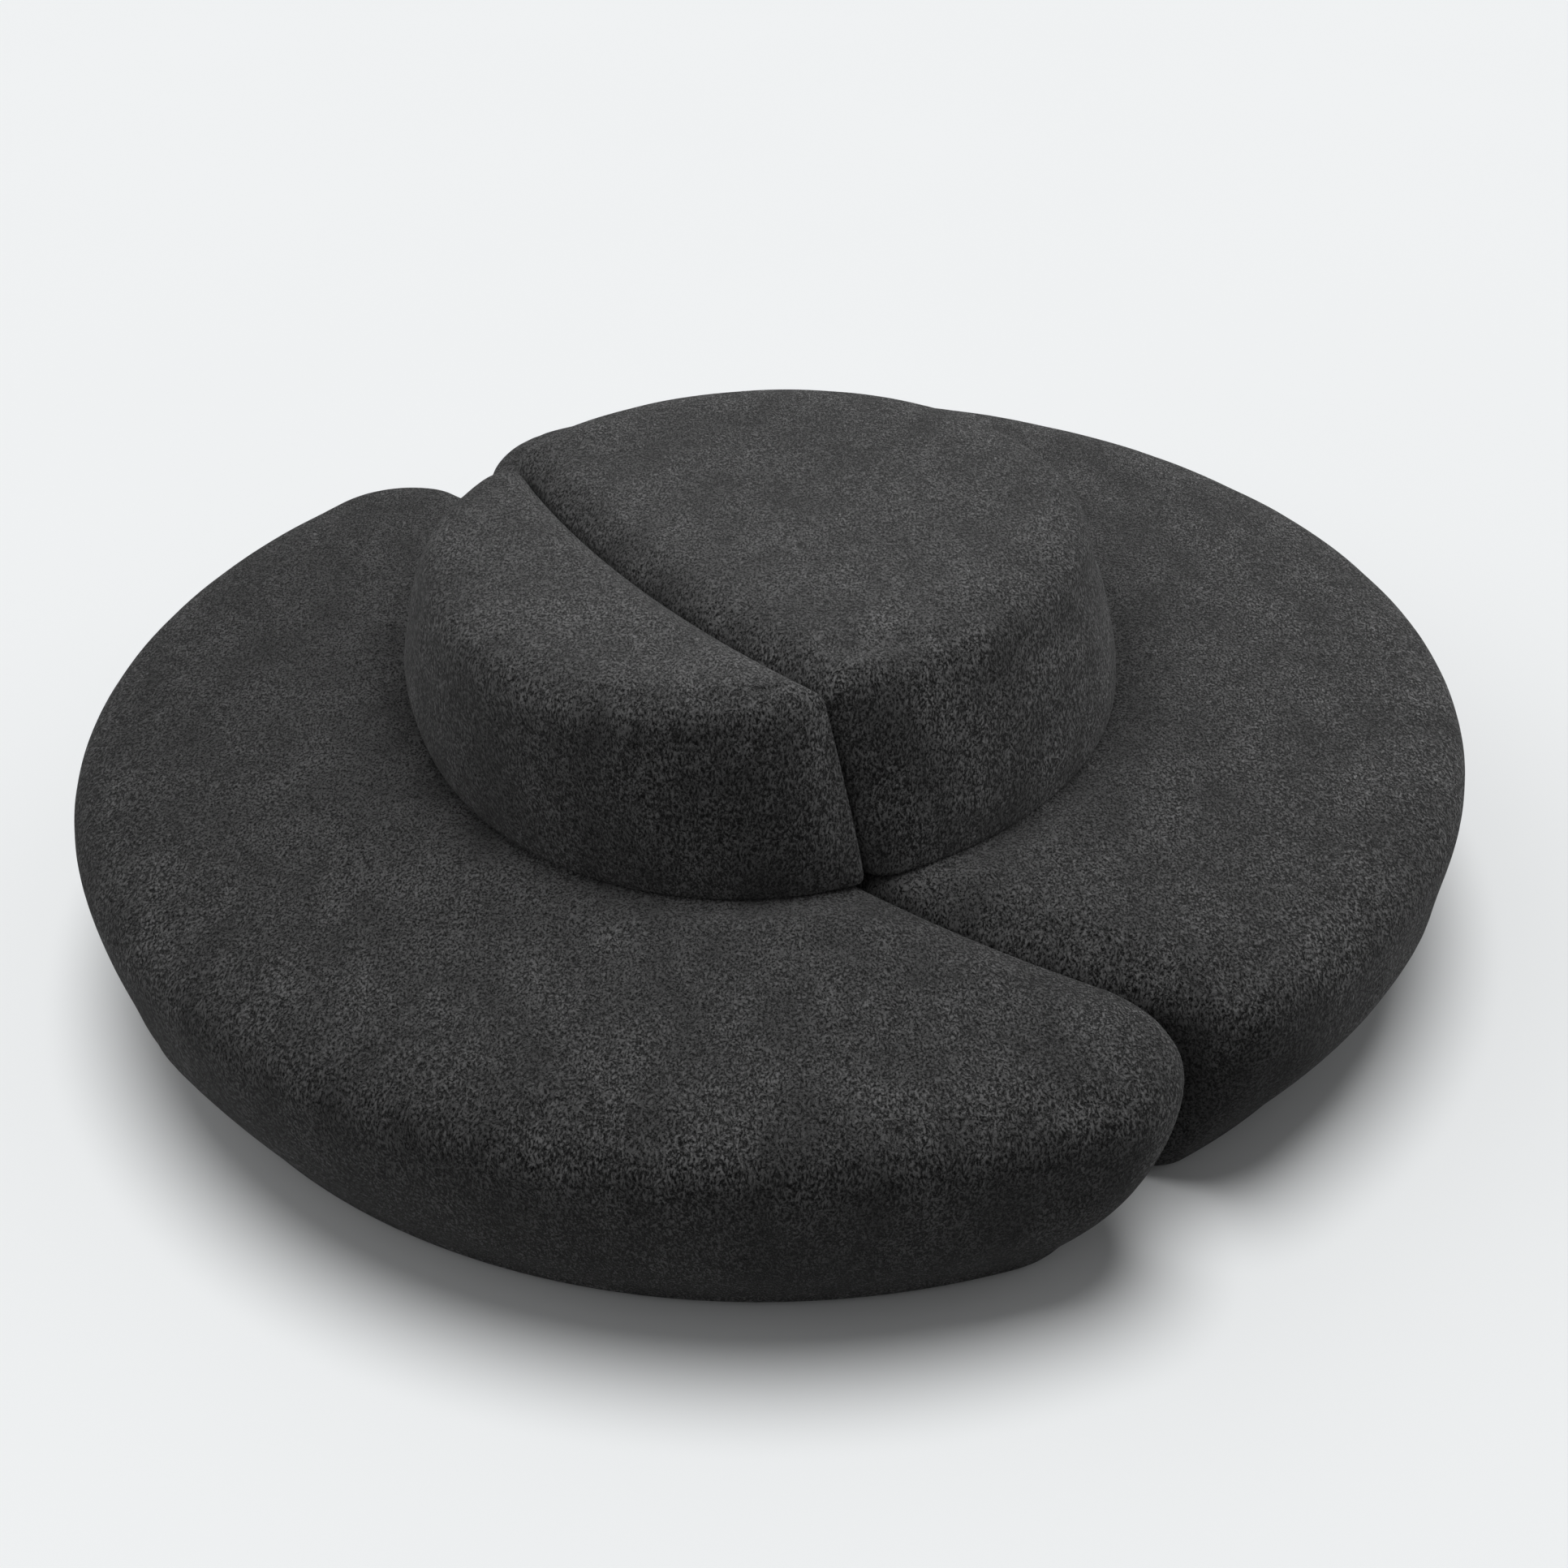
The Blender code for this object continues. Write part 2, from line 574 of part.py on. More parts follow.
def make_deck_openings(module, deck, legs):
    """Openings in the deck with their strap mats, and the holes for the backrest bolts."""
    openings = bmesh.new()
    for label, degrees in zip(("left", "right"), module["openings"]):
        edge = opening_edge(module, degrees, OPENING_INSETS[0])
        edge += reversed(opening_edge(module, degrees, OPENING_INSETS[1]))
        loft(openings, [at_height(edge, DECK_BOTTOM - OVERRUN), at_height(edge, DECK_TOP + OVERRUN)])
        make_strap_mat(f"{module['name']}_strap_mat_{label}", module, degrees)
    join_or_cut(deck, openings, "DIFFERENCE")
    holes = cylinders(legs, BOLT_RADIUS + FIT_GAP, DECK_BOTTOM - OVERRUN, DECK_TOP + OVERRUN)
    join_or_cut(deck, holes, "DIFFERENCE")


def make_glides(module, board, sheet):
    """Nail-on glides under the base board."""
    turns = [math.radians(degrees) for degrees in module["glides"]]
    places = [oval_point(module["seat"], angle, GLIDE_RIM_INSET) for angle in turns]
    for share in module["seam_glides"]:
        places.append(seam_point(module["side"], share * module["seat"][1], GLIDE_SEAM_INSET))
    tip = BOARD_BOTTOM + NAIL_LENGTH
    profile = [
        (0, tip),
        (NAIL_RADIUS, tip - NAIL_POINT),
        (NAIL_RADIUS, GLIDE_HEIGHT),
        (GLIDE_RADIUS, GLIDE_HEIGHT),
        (GLIDE_RADIUS, GLIDE_EDGE),
        (GLIDE_RADIUS - GLIDE_EDGE, 0),
        (0, 0),
    ]
    for number, place in enumerate(places, 1):
        revolved(f"{module['name']}_glide_{number}", place, profile, module["root"], PLASTIC)
    nail_holes = cylinders(places, NAIL_RADIUS + FIT_GAP, BOARD_BOTTOM - OVERRUN, tip + FIT_GAP)
    join_or_cut(board, nail_holes, "DIFFERENCE")
    join_or_cut(sheet, cylinders(places, GLIDE_RADIUS + FOAM_GAP, 0, BOARD_BOTTOM), "DIFFERENCE")


def back_ring(module, height, share, inset, seam_inset, steps=BACK_STEPS):
    """One level ring of a backrest at a share of the way from foot to shoulder."""
    shape = blend_ovals(module["back_foot"], module["back_top"], share)
    points = outline(shape, module["side"], module["back_corners"], inset, seam_inset, steps)
    return at_height(points, height)


def back_skin(module, depth, top_degrees):
    """Rings of the backrest surface from foot to crown, moved inwards by a depth."""
    rings = []
    for share in BACK_SIDE_SHARES:
        height = BACK_FOOT + (BACK_SHOULDER - BACK_FOOT) * share
        rings.append(back_ring(module, height, share, depth, depth))
    for degrees in top_degrees:
        angle = math.radians(degrees)
        reach = BACK_TOP_ROUND - (BACK_TOP_ROUND - depth) * math.cos(angle)
        height = BACK_SHOULDER + (BACK_TOP_ROUND - depth) * math.sin(angle)
        rings.append(back_ring(module, height, 1, reach, reach))
    crown = BACK_TOP_ROUND + BACK_CROWN_WIDTH
    rings.append(back_ring(module, TOTAL_HEIGHT - depth, 1, crown, crown))
    return rings


def wall_ring(module, height, inset, seam_inset, steps=BACK_FRAME_STEPS):
    """One ring of the leaning wall between a backrest's frame and its foam."""
    top_share = (BACK_HOLLOW_TOP - BACK_FOOT) / (BACK_SHOULDER - BACK_FOOT)
    low = back_ring(module, BACK_BOARD_BOTTOM, 0, inset, seam_inset, steps)
    high = back_ring(module, BACK_HOLLOW_TOP, top_share, inset, seam_inset, steps)
    share = (height - BACK_BOARD_BOTTOM) / (BACK_HOLLOW_TOP - BACK_BOARD_BOTTOM)
    return [one.lerp(two, share) for one, two in zip(low, high)]


def make_back_upholstery(module):
    """Backrest cover with its turned-in hem, and the foam hood under it."""
    name = module["name"]
    parent = module["root"]
    hem = BACK_FOOT_ROUND + BACK_HEM_WIDTH
    turned_in = [
        back_ring(module, BACK_HEM_BOTTOM, 0, BACK_FOOT_ROUND, BACK_FOOT_ROUND),
        back_ring(module, BACK_HEM_BOTTOM, 0, hem, hem),
        back_ring(module, BACK_HEM_TOP, 0, hem, hem),
        back_ring(module, BACK_HEM_TOP, 0, BACK_FOOT_ROUND, BACK_FOOT_ROUND),
    ]
    outside = back_skin(module, 0, TOP_ROUND_DEGREES)
    inside = back_skin(module, COVER_THICKNESS, LINING_ROUND_DEGREES)
    lofted(name + "_back_cover", outside[::-1] + turned_in + inside, parent, FABRIC)
    skin = back_skin(module, COVER_THICKNESS + FOAM_GAP, LINING_ROUND_DEGREES)
    wall = (BACK_SIDE_PADDING - PANEL_GAP, BACK_SEAM_PADDING - PANEL_GAP)
    heights = (BACK_FOOT, BACK_BOARD_TOP, BACK_HOLLOW_TOP)
    hollow = [wall_ring(module, height, *wall, BACK_STEPS) for height in heights]
    lofted(name + "_back_foam", skin[::-1] + hollow, parent, FOAM)


def make_back_frame(module, legs):
    """Foot board, bent side panel, ribs and top board of a backrest."""
    name = module["name"]
    parent = module["root"]
    outer = (BACK_SIDE_PADDING, BACK_SEAM_PADDING)
    inner = (BACK_SIDE_PADDING + BACK_PANEL_THICKNESS, BACK_SEAM_PADDING + BACK_PANEL_THICKNESS)
    foot_rings = [wall_ring(module, height, *outer) for height in (BACK_BOARD_BOTTOM, BACK_BOARD_TOP)]
    foot = lofted(name + "_back_foot_board", foot_rings, parent, PLYWOOD)
    holes = cylinders(legs, LEG_RADIUS + FIT_GAP, BACK_BOARD_BOTTOM - OVERRUN, BACK_BOARD_TOP + OVERRUN)
    join_or_cut(foot, holes, "DIFFERENCE")
    panel_bottom = BACK_BOARD_TOP + FIT_GAP
    panel_rings = [
        wall_ring(module, panel_bottom, *outer),
        wall_ring(module, BACK_TOP_BOARD_TOP, *outer),
        wall_ring(module, BACK_TOP_BOARD_TOP, *inner),
        wall_ring(module, BACK_TOP_BOARD_BOTTOM, *inner),
        wall_ring(module, panel_bottom, *inner),
    ]
    lofted(name + "_back_panel", panel_rings, parent, PLYWOOD, closed=True)
    top_inset = [depth + FIT_GAP for depth in inner]
    top_heights = (BACK_TOP_BOARD_BOTTOM, BACK_TOP_BOARD_TOP)
    top_rings = [wall_ring(module, height, *top_inset) for height in top_heights]
    lofted(name + "_back_top_board", top_rings, parent, PLYWOOD)
    top_share = (BACK_TOP_BOARD_BOTTOM - BACK_FOOT) / (BACK_SHOULDER - BACK_FOOT)
    shape = blend_ovals(module["back_foot"], module["back_top"], top_share)
    heights = (STAND_PLATE_TOP + FIT_GAP, BACK_TOP_BOARD_BOTTOM - FIT_GAP)
    for number, share in enumerate(module["back_ribs"], 1):
        across = share * module["back_foot"][1]
        ends = line_ends(shape, module["side"], across, *inner)
        make_rib(f"{name}_back_rib_{number}", module, across, ends, BACK_TOP_BOARD_THICKNESS, heights)


def rounded_hull(places, border):
    """Outline a border wide around places that are listed anticlockwise."""
    points = []
    for index, place in enumerate(places):
        before = (place - places[index - 1]).normalized()
        after = (places[(index + 1) % len(places)] - place).normalized()
        start = place + Vector((before.y, -before.x)) * border
        end = place + Vector((after.y, -after.x)) * border
        points += arc(place, start, end, CORNER_STEPS)
    return points


def make_stand(module, legs):
    """Steel plate on the backrest's foot board with welded legs down to the deck, and the deck bolts."""
    name = module["name"]
    plate_points = rounded_hull(legs, STAND_PLATE_BORDER)
    plate_heights = (STAND_PLATE_BOTTOM, STAND_PLATE_TOP)
    stand = slab(name + "_back_stand", plate_points, *plate_heights, module["root"], STEEL)
    leg_bottom = DECK_TOP + FIT_GAP
    weld = (STAND_PLATE_BOTTOM + STAND_PLATE_TOP) / 2
    join_or_cut(stand, cylinders(legs, LEG_RADIUS, leg_bottom, weld), "UNION")
    bore = cylinders(legs, BOLT_RADIUS + FIT_GAP, leg_bottom - OVERRUN, STAND_PLATE_TOP + OVERRUN)
    join_or_cut(stand, bore, "DIFFERENCE")
    head_top = DECK_BOTTOM - FIT_GAP
    profile = [
        (0, head_top + BOLT_LENGTH),
        (BOLT_RADIUS, head_top + BOLT_LENGTH),
        (BOLT_RADIUS, head_top),
        (BOLT_HEAD_RADIUS, head_top),
        (BOLT_HEAD_RADIUS, head_top - BOLT_HEAD_HEIGHT),
        (0, head_top - BOLT_HEAD_HEIGHT),
    ]
    for number, place in enumerate(legs, 1):
        revolved(f"{name}_back_bolt_{number}", place, profile, module["root"], STEEL)


def make_link_screws(module, board, sheet):
    """Shoulder screws under the base board. Their places are returned."""
    places = [seam_point(module["side"], across, LINK_INSET) for across in LINKS_ACROSS]
    thread_top = BOARD_BOTTOM + LINK_THREAD_LENGTH
    profile = [
        (0, thread_top),
        (LINK_THREAD_RADIUS, thread_top),
        (LINK_THREAD_RADIUS, HEM_TOP),
        (LINK_PIN_RADIUS, HEM_TOP),
        (LINK_PIN_RADIUS, LINK_HEAD_TOP),
        (LINK_HEAD_RADIUS, LINK_HEAD_TOP),
        (LINK_HEAD_RADIUS, LINK_HEAD_TOP - LINK_HEAD_HEIGHT),
        (0, LINK_HEAD_TOP - LINK_HEAD_HEIGHT),
    ]
    for name, place in zip(module["link_screws"], places):
        revolved(name, place, profile, module["root"], STEEL)
    holes = cylinders(places, LINK_THREAD_RADIUS + FIT_GAP, BOARD_BOTTOM - OVERRUN, thread_top + FIT_GAP)
    join_or_cut(board, holes, "DIFFERENCE")
    join_or_cut(sheet, cylinders(places, LINK_PIN_RADIUS + FOAM_GAP, 0, BOARD_BOTTOM), "DIFFERENCE")
    return places


def hook_outline(length):
    """A straight hook along +X from its pivot, with a round-ended notch at a length, open towards -Y."""
    pivot = Vector((0, 0))
    notch = LINK_PIN_RADIUS + LINK_NOTCH_CLEARANCE
    half = HOOK_HALF_WIDTH
    inner = Vector((length - notch, 0))
    outer = Vector((length + notch, 0))
    mouth_inner = Vector((math.sqrt(inner.x ** 2 - half ** 2), -half))
    mouth_outer = Vector((math.sqrt(outer.x ** 2 - half ** 2), -half))
    tip = outer.x + HOOK_TIP
    points = arc(pivot, Vector((0, half)), Vector((0, -half)), NOTCH_STEPS)
    points += arc(pivot, mouth_inner, inner, MOUTH_STEPS)
    points += arc(Vector((length, 0)), inner, outer, NOTCH_STEPS, clockwise=True)[1:-1]
    points += arc(pivot, outer, mouth_outer, MOUTH_STEPS, clockwise=True)
    points += [Vector((tip - half / 2, -half)), Vector((tip, -half / 2))]
    points += [Vector((tip, half / 2)), Vector((tip - half / 2, half))]
    return points


def make_hook(name, pivot, stud, stow_turn, parent):
    """A flat link hook, stowed under the front module. Its notch takes the stud when it swings out."""
    reach = stud - pivot
    along = direction(math.atan2(reach.y, reach.x) + stow_turn * math.radians(HOOK_STOWED_DEGREES))
    beside = Vector((-along.y, along.x)) * stow_turn
    points = [along * point.x + beside * point.y for point in hook_outline(reach.length)]
    shape = bmesh.new()
    loft(shape, [at_height(points, HOOK_BOTTOM), at_height(points, HOOK_TOP)])
    hook = finish(name, shape, parent, STEEL, (pivot.x, pivot.y, 0))
    holes = cylinders([pivot], LINK_PIN_RADIUS + FIT_GAP, HOOK_BOTTOM - OVERRUN, HOOK_TOP + OVERRUN)
    join_or_cut(hook, holes, "DIFFERENCE")


def make_module(module):
    """One whole module. The places of its link screws are returned."""
    foot_radius = module["back_foot"][1]
    legs = [grid_point(module["side"], *(share * foot_radius for share in leg)) for leg in module["legs"]]
    sheet = make_seat_upholstery(module, legs)
    board, deck = make_seat_frame(module)
    make_deck_openings(module, deck, legs)
    make_glides(module, board, sheet)
    make_back_upholstery(module)
    make_back_frame(module, legs)
    make_stand(module, legs)
    return make_link_screws(module, board, sheet)


def module_root(name):
    """Empty that carries one module."""
    root = bpy.data.objects.new(name, None)
    bpy.context.collection.objects.link(root)
    return root


front_seat = (FRONT_SEAT_REACH, FRONT_SEAT_SHIFT, FRONT_SEAT_RADIUS)
front_foot = (FRONT_BACK_FOOT_REACH, FRONT_BACK_FOOT_SHIFT, FRONT_BACK_FOOT_RADIUS)
front_top = (FRONT_BACK_TOP_REACH, FRONT_BACK_TOP_SHIFT, FRONT_BACK_TOP_RADIUS)
front_back = (FRONT_BACK_OVAL_SHARE, FRONT_BACK_LONG_DEGREES)
front_module = {
    "name": "front",
    "side": FRONT,
    "root": module_root("front_module"),
    "seat": oval(FRONT, *front_seat, FRONT_SEAT_OVAL_SHARE, FRONT_SEAT_LONG_DEGREES),
    "seat_corners": FRONT_SEAT_CORNERS,
    "back_foot": oval(FRONT, *front_foot, *front_back),
    "back_top": oval(FRONT, *front_top, *front_back),
    "back_corners": FRONT_BACK_CORNERS,
    "ribs": FRONT_RIB_SHARES,
    "back_ribs": FRONT_BACK_RIB_SHARES,
    "legs": FRONT_LEG_SHARES,
    "openings": FRONT_OPENING_DEGREES,
    "glides": FRONT_GLIDE_DEGREES,
    "seam_glides": FRONT_GLIDE_SHARES,
    "link_screws": ("front_hook_screw_left", "front_hook_screw_right"),
}
rear_seat = (REAR_SEAT_REACH, REAR_SEAT_SHIFT, REAR_SEAT_RADIUS)
rear_foot = (REAR_BACK_FOOT_REACH, REAR_BACK_FOOT_SHIFT, REAR_BACK_FOOT_RADIUS)
rear_top = (REAR_BACK_TOP_REACH, REAR_BACK_TOP_SHIFT, REAR_BACK_TOP_RADIUS)
rear_back = (REAR_BACK_OVAL_SHARE, REAR_BACK_LONG_DEGREES)
rear_module = {
    "name": "rear",
    "side": REAR,
    "root": module_root("rear_module"),
    "seat": oval(REAR, *rear_seat, REAR_SEAT_OVAL_SHARE, REAR_SEAT_LONG_DEGREES),
    "seat_corners": REAR_SEAT_CORNERS,
    "back_foot": oval(REAR, *rear_foot, *rear_back),
    "back_top": oval(REAR, *rear_top, *rear_back),
    "back_corners": REAR_BACK_CORNERS,
    "ribs": REAR_RIB_SHARES,
    "back_ribs": REAR_BACK_RIB_SHARES,
    "legs": REAR_LEG_SHARES,
    "openings": REAR_OPENING_DEGREES,
    "glides": REAR_GLIDE_DEGREES,
    "seam_glides": REAR_GLIDE_SHARES,
    "link_screws": ("rear_link_stud_left", "rear_link_stud_right"),
}
hook_pivots = make_module(front_module)
link_studs = make_module(rear_module)
make_hook("front_link_hook_left", hook_pivots[0], link_studs[0], -1, front_module["root"])
make_hook("front_link_hook_right", hook_pivots[1], link_studs[1], 1, front_module["root"])
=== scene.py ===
import math

import bmesh
import bpy
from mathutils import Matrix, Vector, noise


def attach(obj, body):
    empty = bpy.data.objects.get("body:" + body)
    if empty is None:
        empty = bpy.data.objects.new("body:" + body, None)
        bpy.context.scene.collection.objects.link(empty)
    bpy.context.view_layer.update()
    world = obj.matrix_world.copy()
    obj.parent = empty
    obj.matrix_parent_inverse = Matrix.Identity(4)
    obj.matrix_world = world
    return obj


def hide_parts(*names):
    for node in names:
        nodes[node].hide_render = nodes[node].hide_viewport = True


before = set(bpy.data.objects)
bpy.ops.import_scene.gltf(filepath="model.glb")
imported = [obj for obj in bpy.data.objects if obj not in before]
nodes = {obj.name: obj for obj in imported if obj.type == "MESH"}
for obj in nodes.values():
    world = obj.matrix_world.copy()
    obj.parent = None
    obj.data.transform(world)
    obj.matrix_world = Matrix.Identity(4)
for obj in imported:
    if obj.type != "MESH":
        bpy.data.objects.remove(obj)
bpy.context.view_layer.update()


# Front seat cover: charcoal plush boucle sewn as one jacket, pulled over the foam of the crescent
# seat, folded in under the base board and stapled there. It is taut, with a soft crown and a rolled
# top edge, leans in towards the floor, and stands upright where the rear module presses on it.
FRONT = 1
REAR = -1
SEAM_MIDDLE = Vector((-0.2636, -0.1833))
SEAM_TURN = math.radians(214.81)
SEAM_RADIUS = 2.383
SEAM_GAP = 0.0006
LEAST_CORNER = 0.0025
FLOOR_GAP = 0.0095
SEAT_HEIGHT = 0.401
SEAT_CROWN = 0.006
SEAT_CROWN_WIDTH = 0.110
SEAT_TAPER = 0.102
SEAT_TAPER_POWER = 1.8
SEAT_TOP_ROUND = 0.0425
SEAT_BOTTOM_ROUND = 0.030
SEAT_HEM_WIDTH = 0.037
SEAT_SLACK = 0.0015
SEAT_SWELL = 0.007
SEAT_PRESSURE = 4.0
SEAT_SEAM_HELD = 0.004
SEAT_SEAM_EASE = 0.120
SEAT_HEM_HELD = 0.030
SEAT_HEM_EASE = 0.220
SEAT_BACK_EASE = 0.090
BOTTOM_ROUND_DEGREES = (90, 68, 45, 22)
TOP_ROUND_DEGREES = (15, 30, 45, 60, 75, 90)
SIDE_STEPS = 10
HALVINGS = 44
GRID_ROUNDS = 300
LEAST_EDGE = 0.004
LEAST_CREASE = math.radians(25)
IRONED_HEIGHT = 0.10
IRON_ROUNDS = 20
LEAST_LOOSENESS = 0.02
CLOTH_FRAMES = 20
CLOTH_THICKNESS = 0.0025
PILE_HEIGHT = 0.013
WIDE_WAVE_HEIGHT = 0.0016
WIDE_WAVES_PER_METRE = 3.1
SMALL_WAVE_HEIGHT = 0.0009
SMALL_WAVES_PER_METRE = 8.3

behind_seam = Vector((math.cos(SEAM_TURN), math.sin(SEAM_TURN)))
along_seam = Vector((-behind_seam.y, behind_seam.x))
seam_centre = SEAM_MIDDLE - behind_seam * SEAM_RADIUS


def direction(angle):
    """Unit vector at an angle seen from above."""
    return Vector((math.cos(angle), math.sin(angle)))


def ease(share):
    """Smooth step from 0 to 1."""
    share = min(max(share, 0), 1)
    return share * share * (3 - 2 * share)


def plan_point(side, across, along):
    """Place of a point given along the seam and away from its middle."""
    return SEAM_MIDDLE + along_seam * across + behind_seam * along * side


def oval(side, reach, shift, radius, share, degrees):
    """One template oval: centre, mean radius, ovality share and long direction."""
    return plan_point(side, shift, reach - radius), radius, share, math.radians(degrees)


def oval_point(template, angle, inset):
    """Point on a template oval, moved inwards square to its edge."""
    centre, radius, share, long_angle = template
    reach = radius * (1 + share * math.cos(2 * (angle - long_angle)))
    slope = -2 * radius * share * math.sin(2 * (angle - long_angle))
    outward = direction(angle)
    tangent = (outward * slope + Vector((-outward.y, outward.x)) * reach).normalized()
    return centre + outward * reach - Vector((tangent.y, -tangent.x)) * inset


def arc(centre, start, end, steps, clockwise=False):
    """Points on a round arc about a centre, both ends included."""
    first = start - centre
    last = end - centre
    begin = math.atan2(first.y, first.x)
    sweep = (math.atan2(last.y, last.x) - begin) % math.tau
    if clockwise:
        sweep -= math.tau
    turns = [begin + sweep * step / steps for step in range(steps + 1)]
    return [centre + direction(turn) * first.length for turn in turns]


def level_line(template, side, corners, insets, height, runs):
    """Closed line round one level of a module: oval side, end corner, seam side and first corner."""
    inset, seam_inset = insets
    long_steps, corner_steps = runs
    seam_radius = SEAM_RADIUS + side * (SEAM_GAP / 2 + seam_inset)
    to_seam = seam_centre - template[0]
    start = math.atan2(to_seam.y, to_seam.x)
    ends = []
    for corner, sweep in zip(corners, (math.pi, -math.pi)):
        radius = max(corner - seam_inset, LEAST_CORNER)
        near = start
        far = start + sweep
        for _ in range(HALVINGS):
            angle = (near + far) / 2
            middle = oval_point(template, angle, inset + radius)
            if (middle - seam_centre).length < seam_radius + side * radius:
                near = angle
            else:
                far = angle
        on_seam = seam_centre + (middle - seam_centre).normalized() * seam_radius
        ends.append((angle, middle, oval_point(template, angle, inset), on_seam))
    first, last = ends if side == FRONT else reversed(ends)
    sweep = (last[0] - first[0]) % math.tau
    turns = [first[0] + sweep * step / long_steps for step in range(long_steps + 1)]
    points = [oval_point(template, angle, inset) for angle in turns]
    points += arc(last[1], last[2], last[3], corner_steps)[1:-1]
    points += arc(seam_centre, last[3], first[3], long_steps, side == FRONT)
    points += arc(first[1], first[3], first[2], corner_steps)[1:-1]
    return [Vector((point.x, point.y, height)) for point in points]


def top_spots(edge, runs):
    """Flat grid of spots between the four runs of the top edge, evened out."""
    long_steps, corner_steps = runs
    far = 2 * long_steps + corner_steps
    spots = []
    for i in range(long_steps + 1):
        u = i / long_steps
        column = []
        for j in range(corner_steps + 1):
            v = j / corner_steps
            across = edge[i] * (1 - v) + edge[far - i] * v
            along = edge[-j] * (1 - u) + edge[long_steps + j] * u
            square = edge[0] * (1 - u) * (1 - v) + edge[long_steps] * u * (1 - v)
            square += edge[far] * (1 - u) * v + edge[long_steps + corner_steps] * u * v
            column.append(across + along - square)
        spots.append(column)
    for _ in range(GRID_ROUNDS):
        for i in range(1, long_steps):
            for j in range(1, corner_steps):
                beside = spots[i - 1][j] + spots[i + 1][j] + spots[i][j - 1] + spots[i][j + 1]
                spots[i][j] = beside / 4
    return spots


def padded_shell(name, levels, runs, crown, crown_width):
    """Skin of quads: level lines from the hem to the top edge, then a crowned grid across the top."""
    long_steps, corner_steps = runs
    shape = bmesh.new()
    loops = [[shape.verts.new(point) for point in line] for line in levels]
    for lower, upper in zip(loops, loops[1:]):
        for index in range(len(lower)):
            after = (index + 1) % len(lower)
            shape.faces.new((lower[index], lower[after], upper[after], upper[index]))
    rim = loops[-1]
    edge = levels[-1]
    far = 2 * long_steps + corner_steps
    spots = top_spots(edge, runs)
    grid = []
    for i in range(long_steps + 1):
        column = []
        for j in range(corner_steps + 1):
            if j == 0:
                column.append(rim[i])
            elif j == corner_steps:
                column.append(rim[far - i])
            elif i == 0:
                column.append(rim[-j])
            elif i == long_steps:
                column.append(rim[long_steps + j])
            else:
                point = spots[i][j]
                gap = min((point - spot).length for spot in edge)
                rise = min(gap / crown_width, 1)
                point.z += crown * rise * (2 - rise)
                column.append(shape.verts.new(point))
        grid.append(column)
    for one, two in zip(grid, grid[1:]):
        for j in range(corner_steps):
            shape.faces.new((one[j], two[j], two[j + 1], one[j + 1]))
    bmesh.ops.remove_doubles(shape, verts=shape.verts, dist=LEAST_EDGE)
    mesh = bpy.data.meshes.new(name)
    shape.to_mesh(mesh)
    shape.free()
    piece = bpy.data.objects.new(name, mesh)
    bpy.context.collection.objects.link(piece)
    return piece


def choose(piece):
    """Makes one piece the only selected and active object."""
    bpy.ops.object.select_all(action="DESELECT")
    piece.select_set(True)
    bpy.context.view_layer.objects.active = piece


def blow_out(piece, looseness, pressure, swell):
    """Presses the cover out by its filling in a cloth simulation, then stands its pile on it."""
    rest = [vert.co.copy() for vert in piece.data.vertices]
    loose = [looseness(point) for point in rest]
    choose(piece)
    held = piece.vertex_groups.new(name="held")
    fixed = [index for index, share in enumerate(loose) if share < LEAST_LOOSENESS]
    held.add(fixed, 1.0, "REPLACE")
    cloth = piece.modifiers.new("cloth", "CLOTH").settings
    cloth.quality = 5
    cloth.mass = 0.4
    cloth.tension_stiffness = 15
    cloth.compression_stiffness = 15
    cloth.bending_stiffness = 2
    cloth.use_pressure = True
    cloth.uniform_pressure_force = pressure
    cloth.vertex_group_mass = "held"
    cloth.effector_weights.gravity = 0
    for step in range(CLOTH_FRAMES):
        bpy.context.scene.frame_set(step + 1)
    bpy.ops.object.modifier_apply(modifier="cloth")
    for vert, start, share in zip(piece.data.vertices, rest, loose):
        move = vert.co - start
        if move.length > swell:
            move *= swell / move.length
        vert.co = start + move * share
    piece.data.update()
    for vert, share in zip(piece.data.vertices, loose):
        spot = vert.co
        wave = WIDE_WAVE_HEIGHT * noise.noise(spot * WIDE_WAVES_PER_METRE)
        wave += SMALL_WAVE_HEIGHT * noise.noise(spot * SMALL_WAVES_PER_METRE)
        vert.co = spot + vert.normal * (PILE_HEIGHT + wave) * share
    iron_out(piece)


def iron_out(piece):
    """Smooths the few creased points near the top edge, where the grid is tight at a corner."""
    shape = bmesh.new()
    shape.from_mesh(piece.data)
    lowest = max(vert.co.z for vert in shape.verts) - IRONED_HEIGHT
    for _ in range(IRON_ROUNDS):
        sharp = [edge for edge in shape.edges if edge.calc_face_angle(0) > LEAST_CREASE]
        creased = {vert for edge in sharp for vert in edge.verts if vert.co.z > lowest}
        beside = {vert for point in creased for edge in point.link_edges for vert in edge.verts}
        bmesh.ops.smooth_vert(
            shape, verts=list(beside), factor=0.5, use_axis_x=True, use_axis_y=True, use_axis_z=True
        )
    shape.to_mesh(piece.data)
    shape.free()


def give_thickness(piece):
    """Gives the cover the thickness of its cloth and one level of smoothing."""
    choose(piece)
    cloth = piece.modifiers.new("thickness", "SOLIDIFY")
    cloth.thickness = CLOTH_THICKNESS
    cloth.offset = -1
    soft = piece.modifiers.new("soft", "SUBSURF")
    soft.levels = 1
    soft.render_levels = 1
    bpy.ops.object.modifier_apply(modifier="thickness")
    bpy.ops.object.modifier_apply(modifier="soft")
    piece.data.shade_smooth()


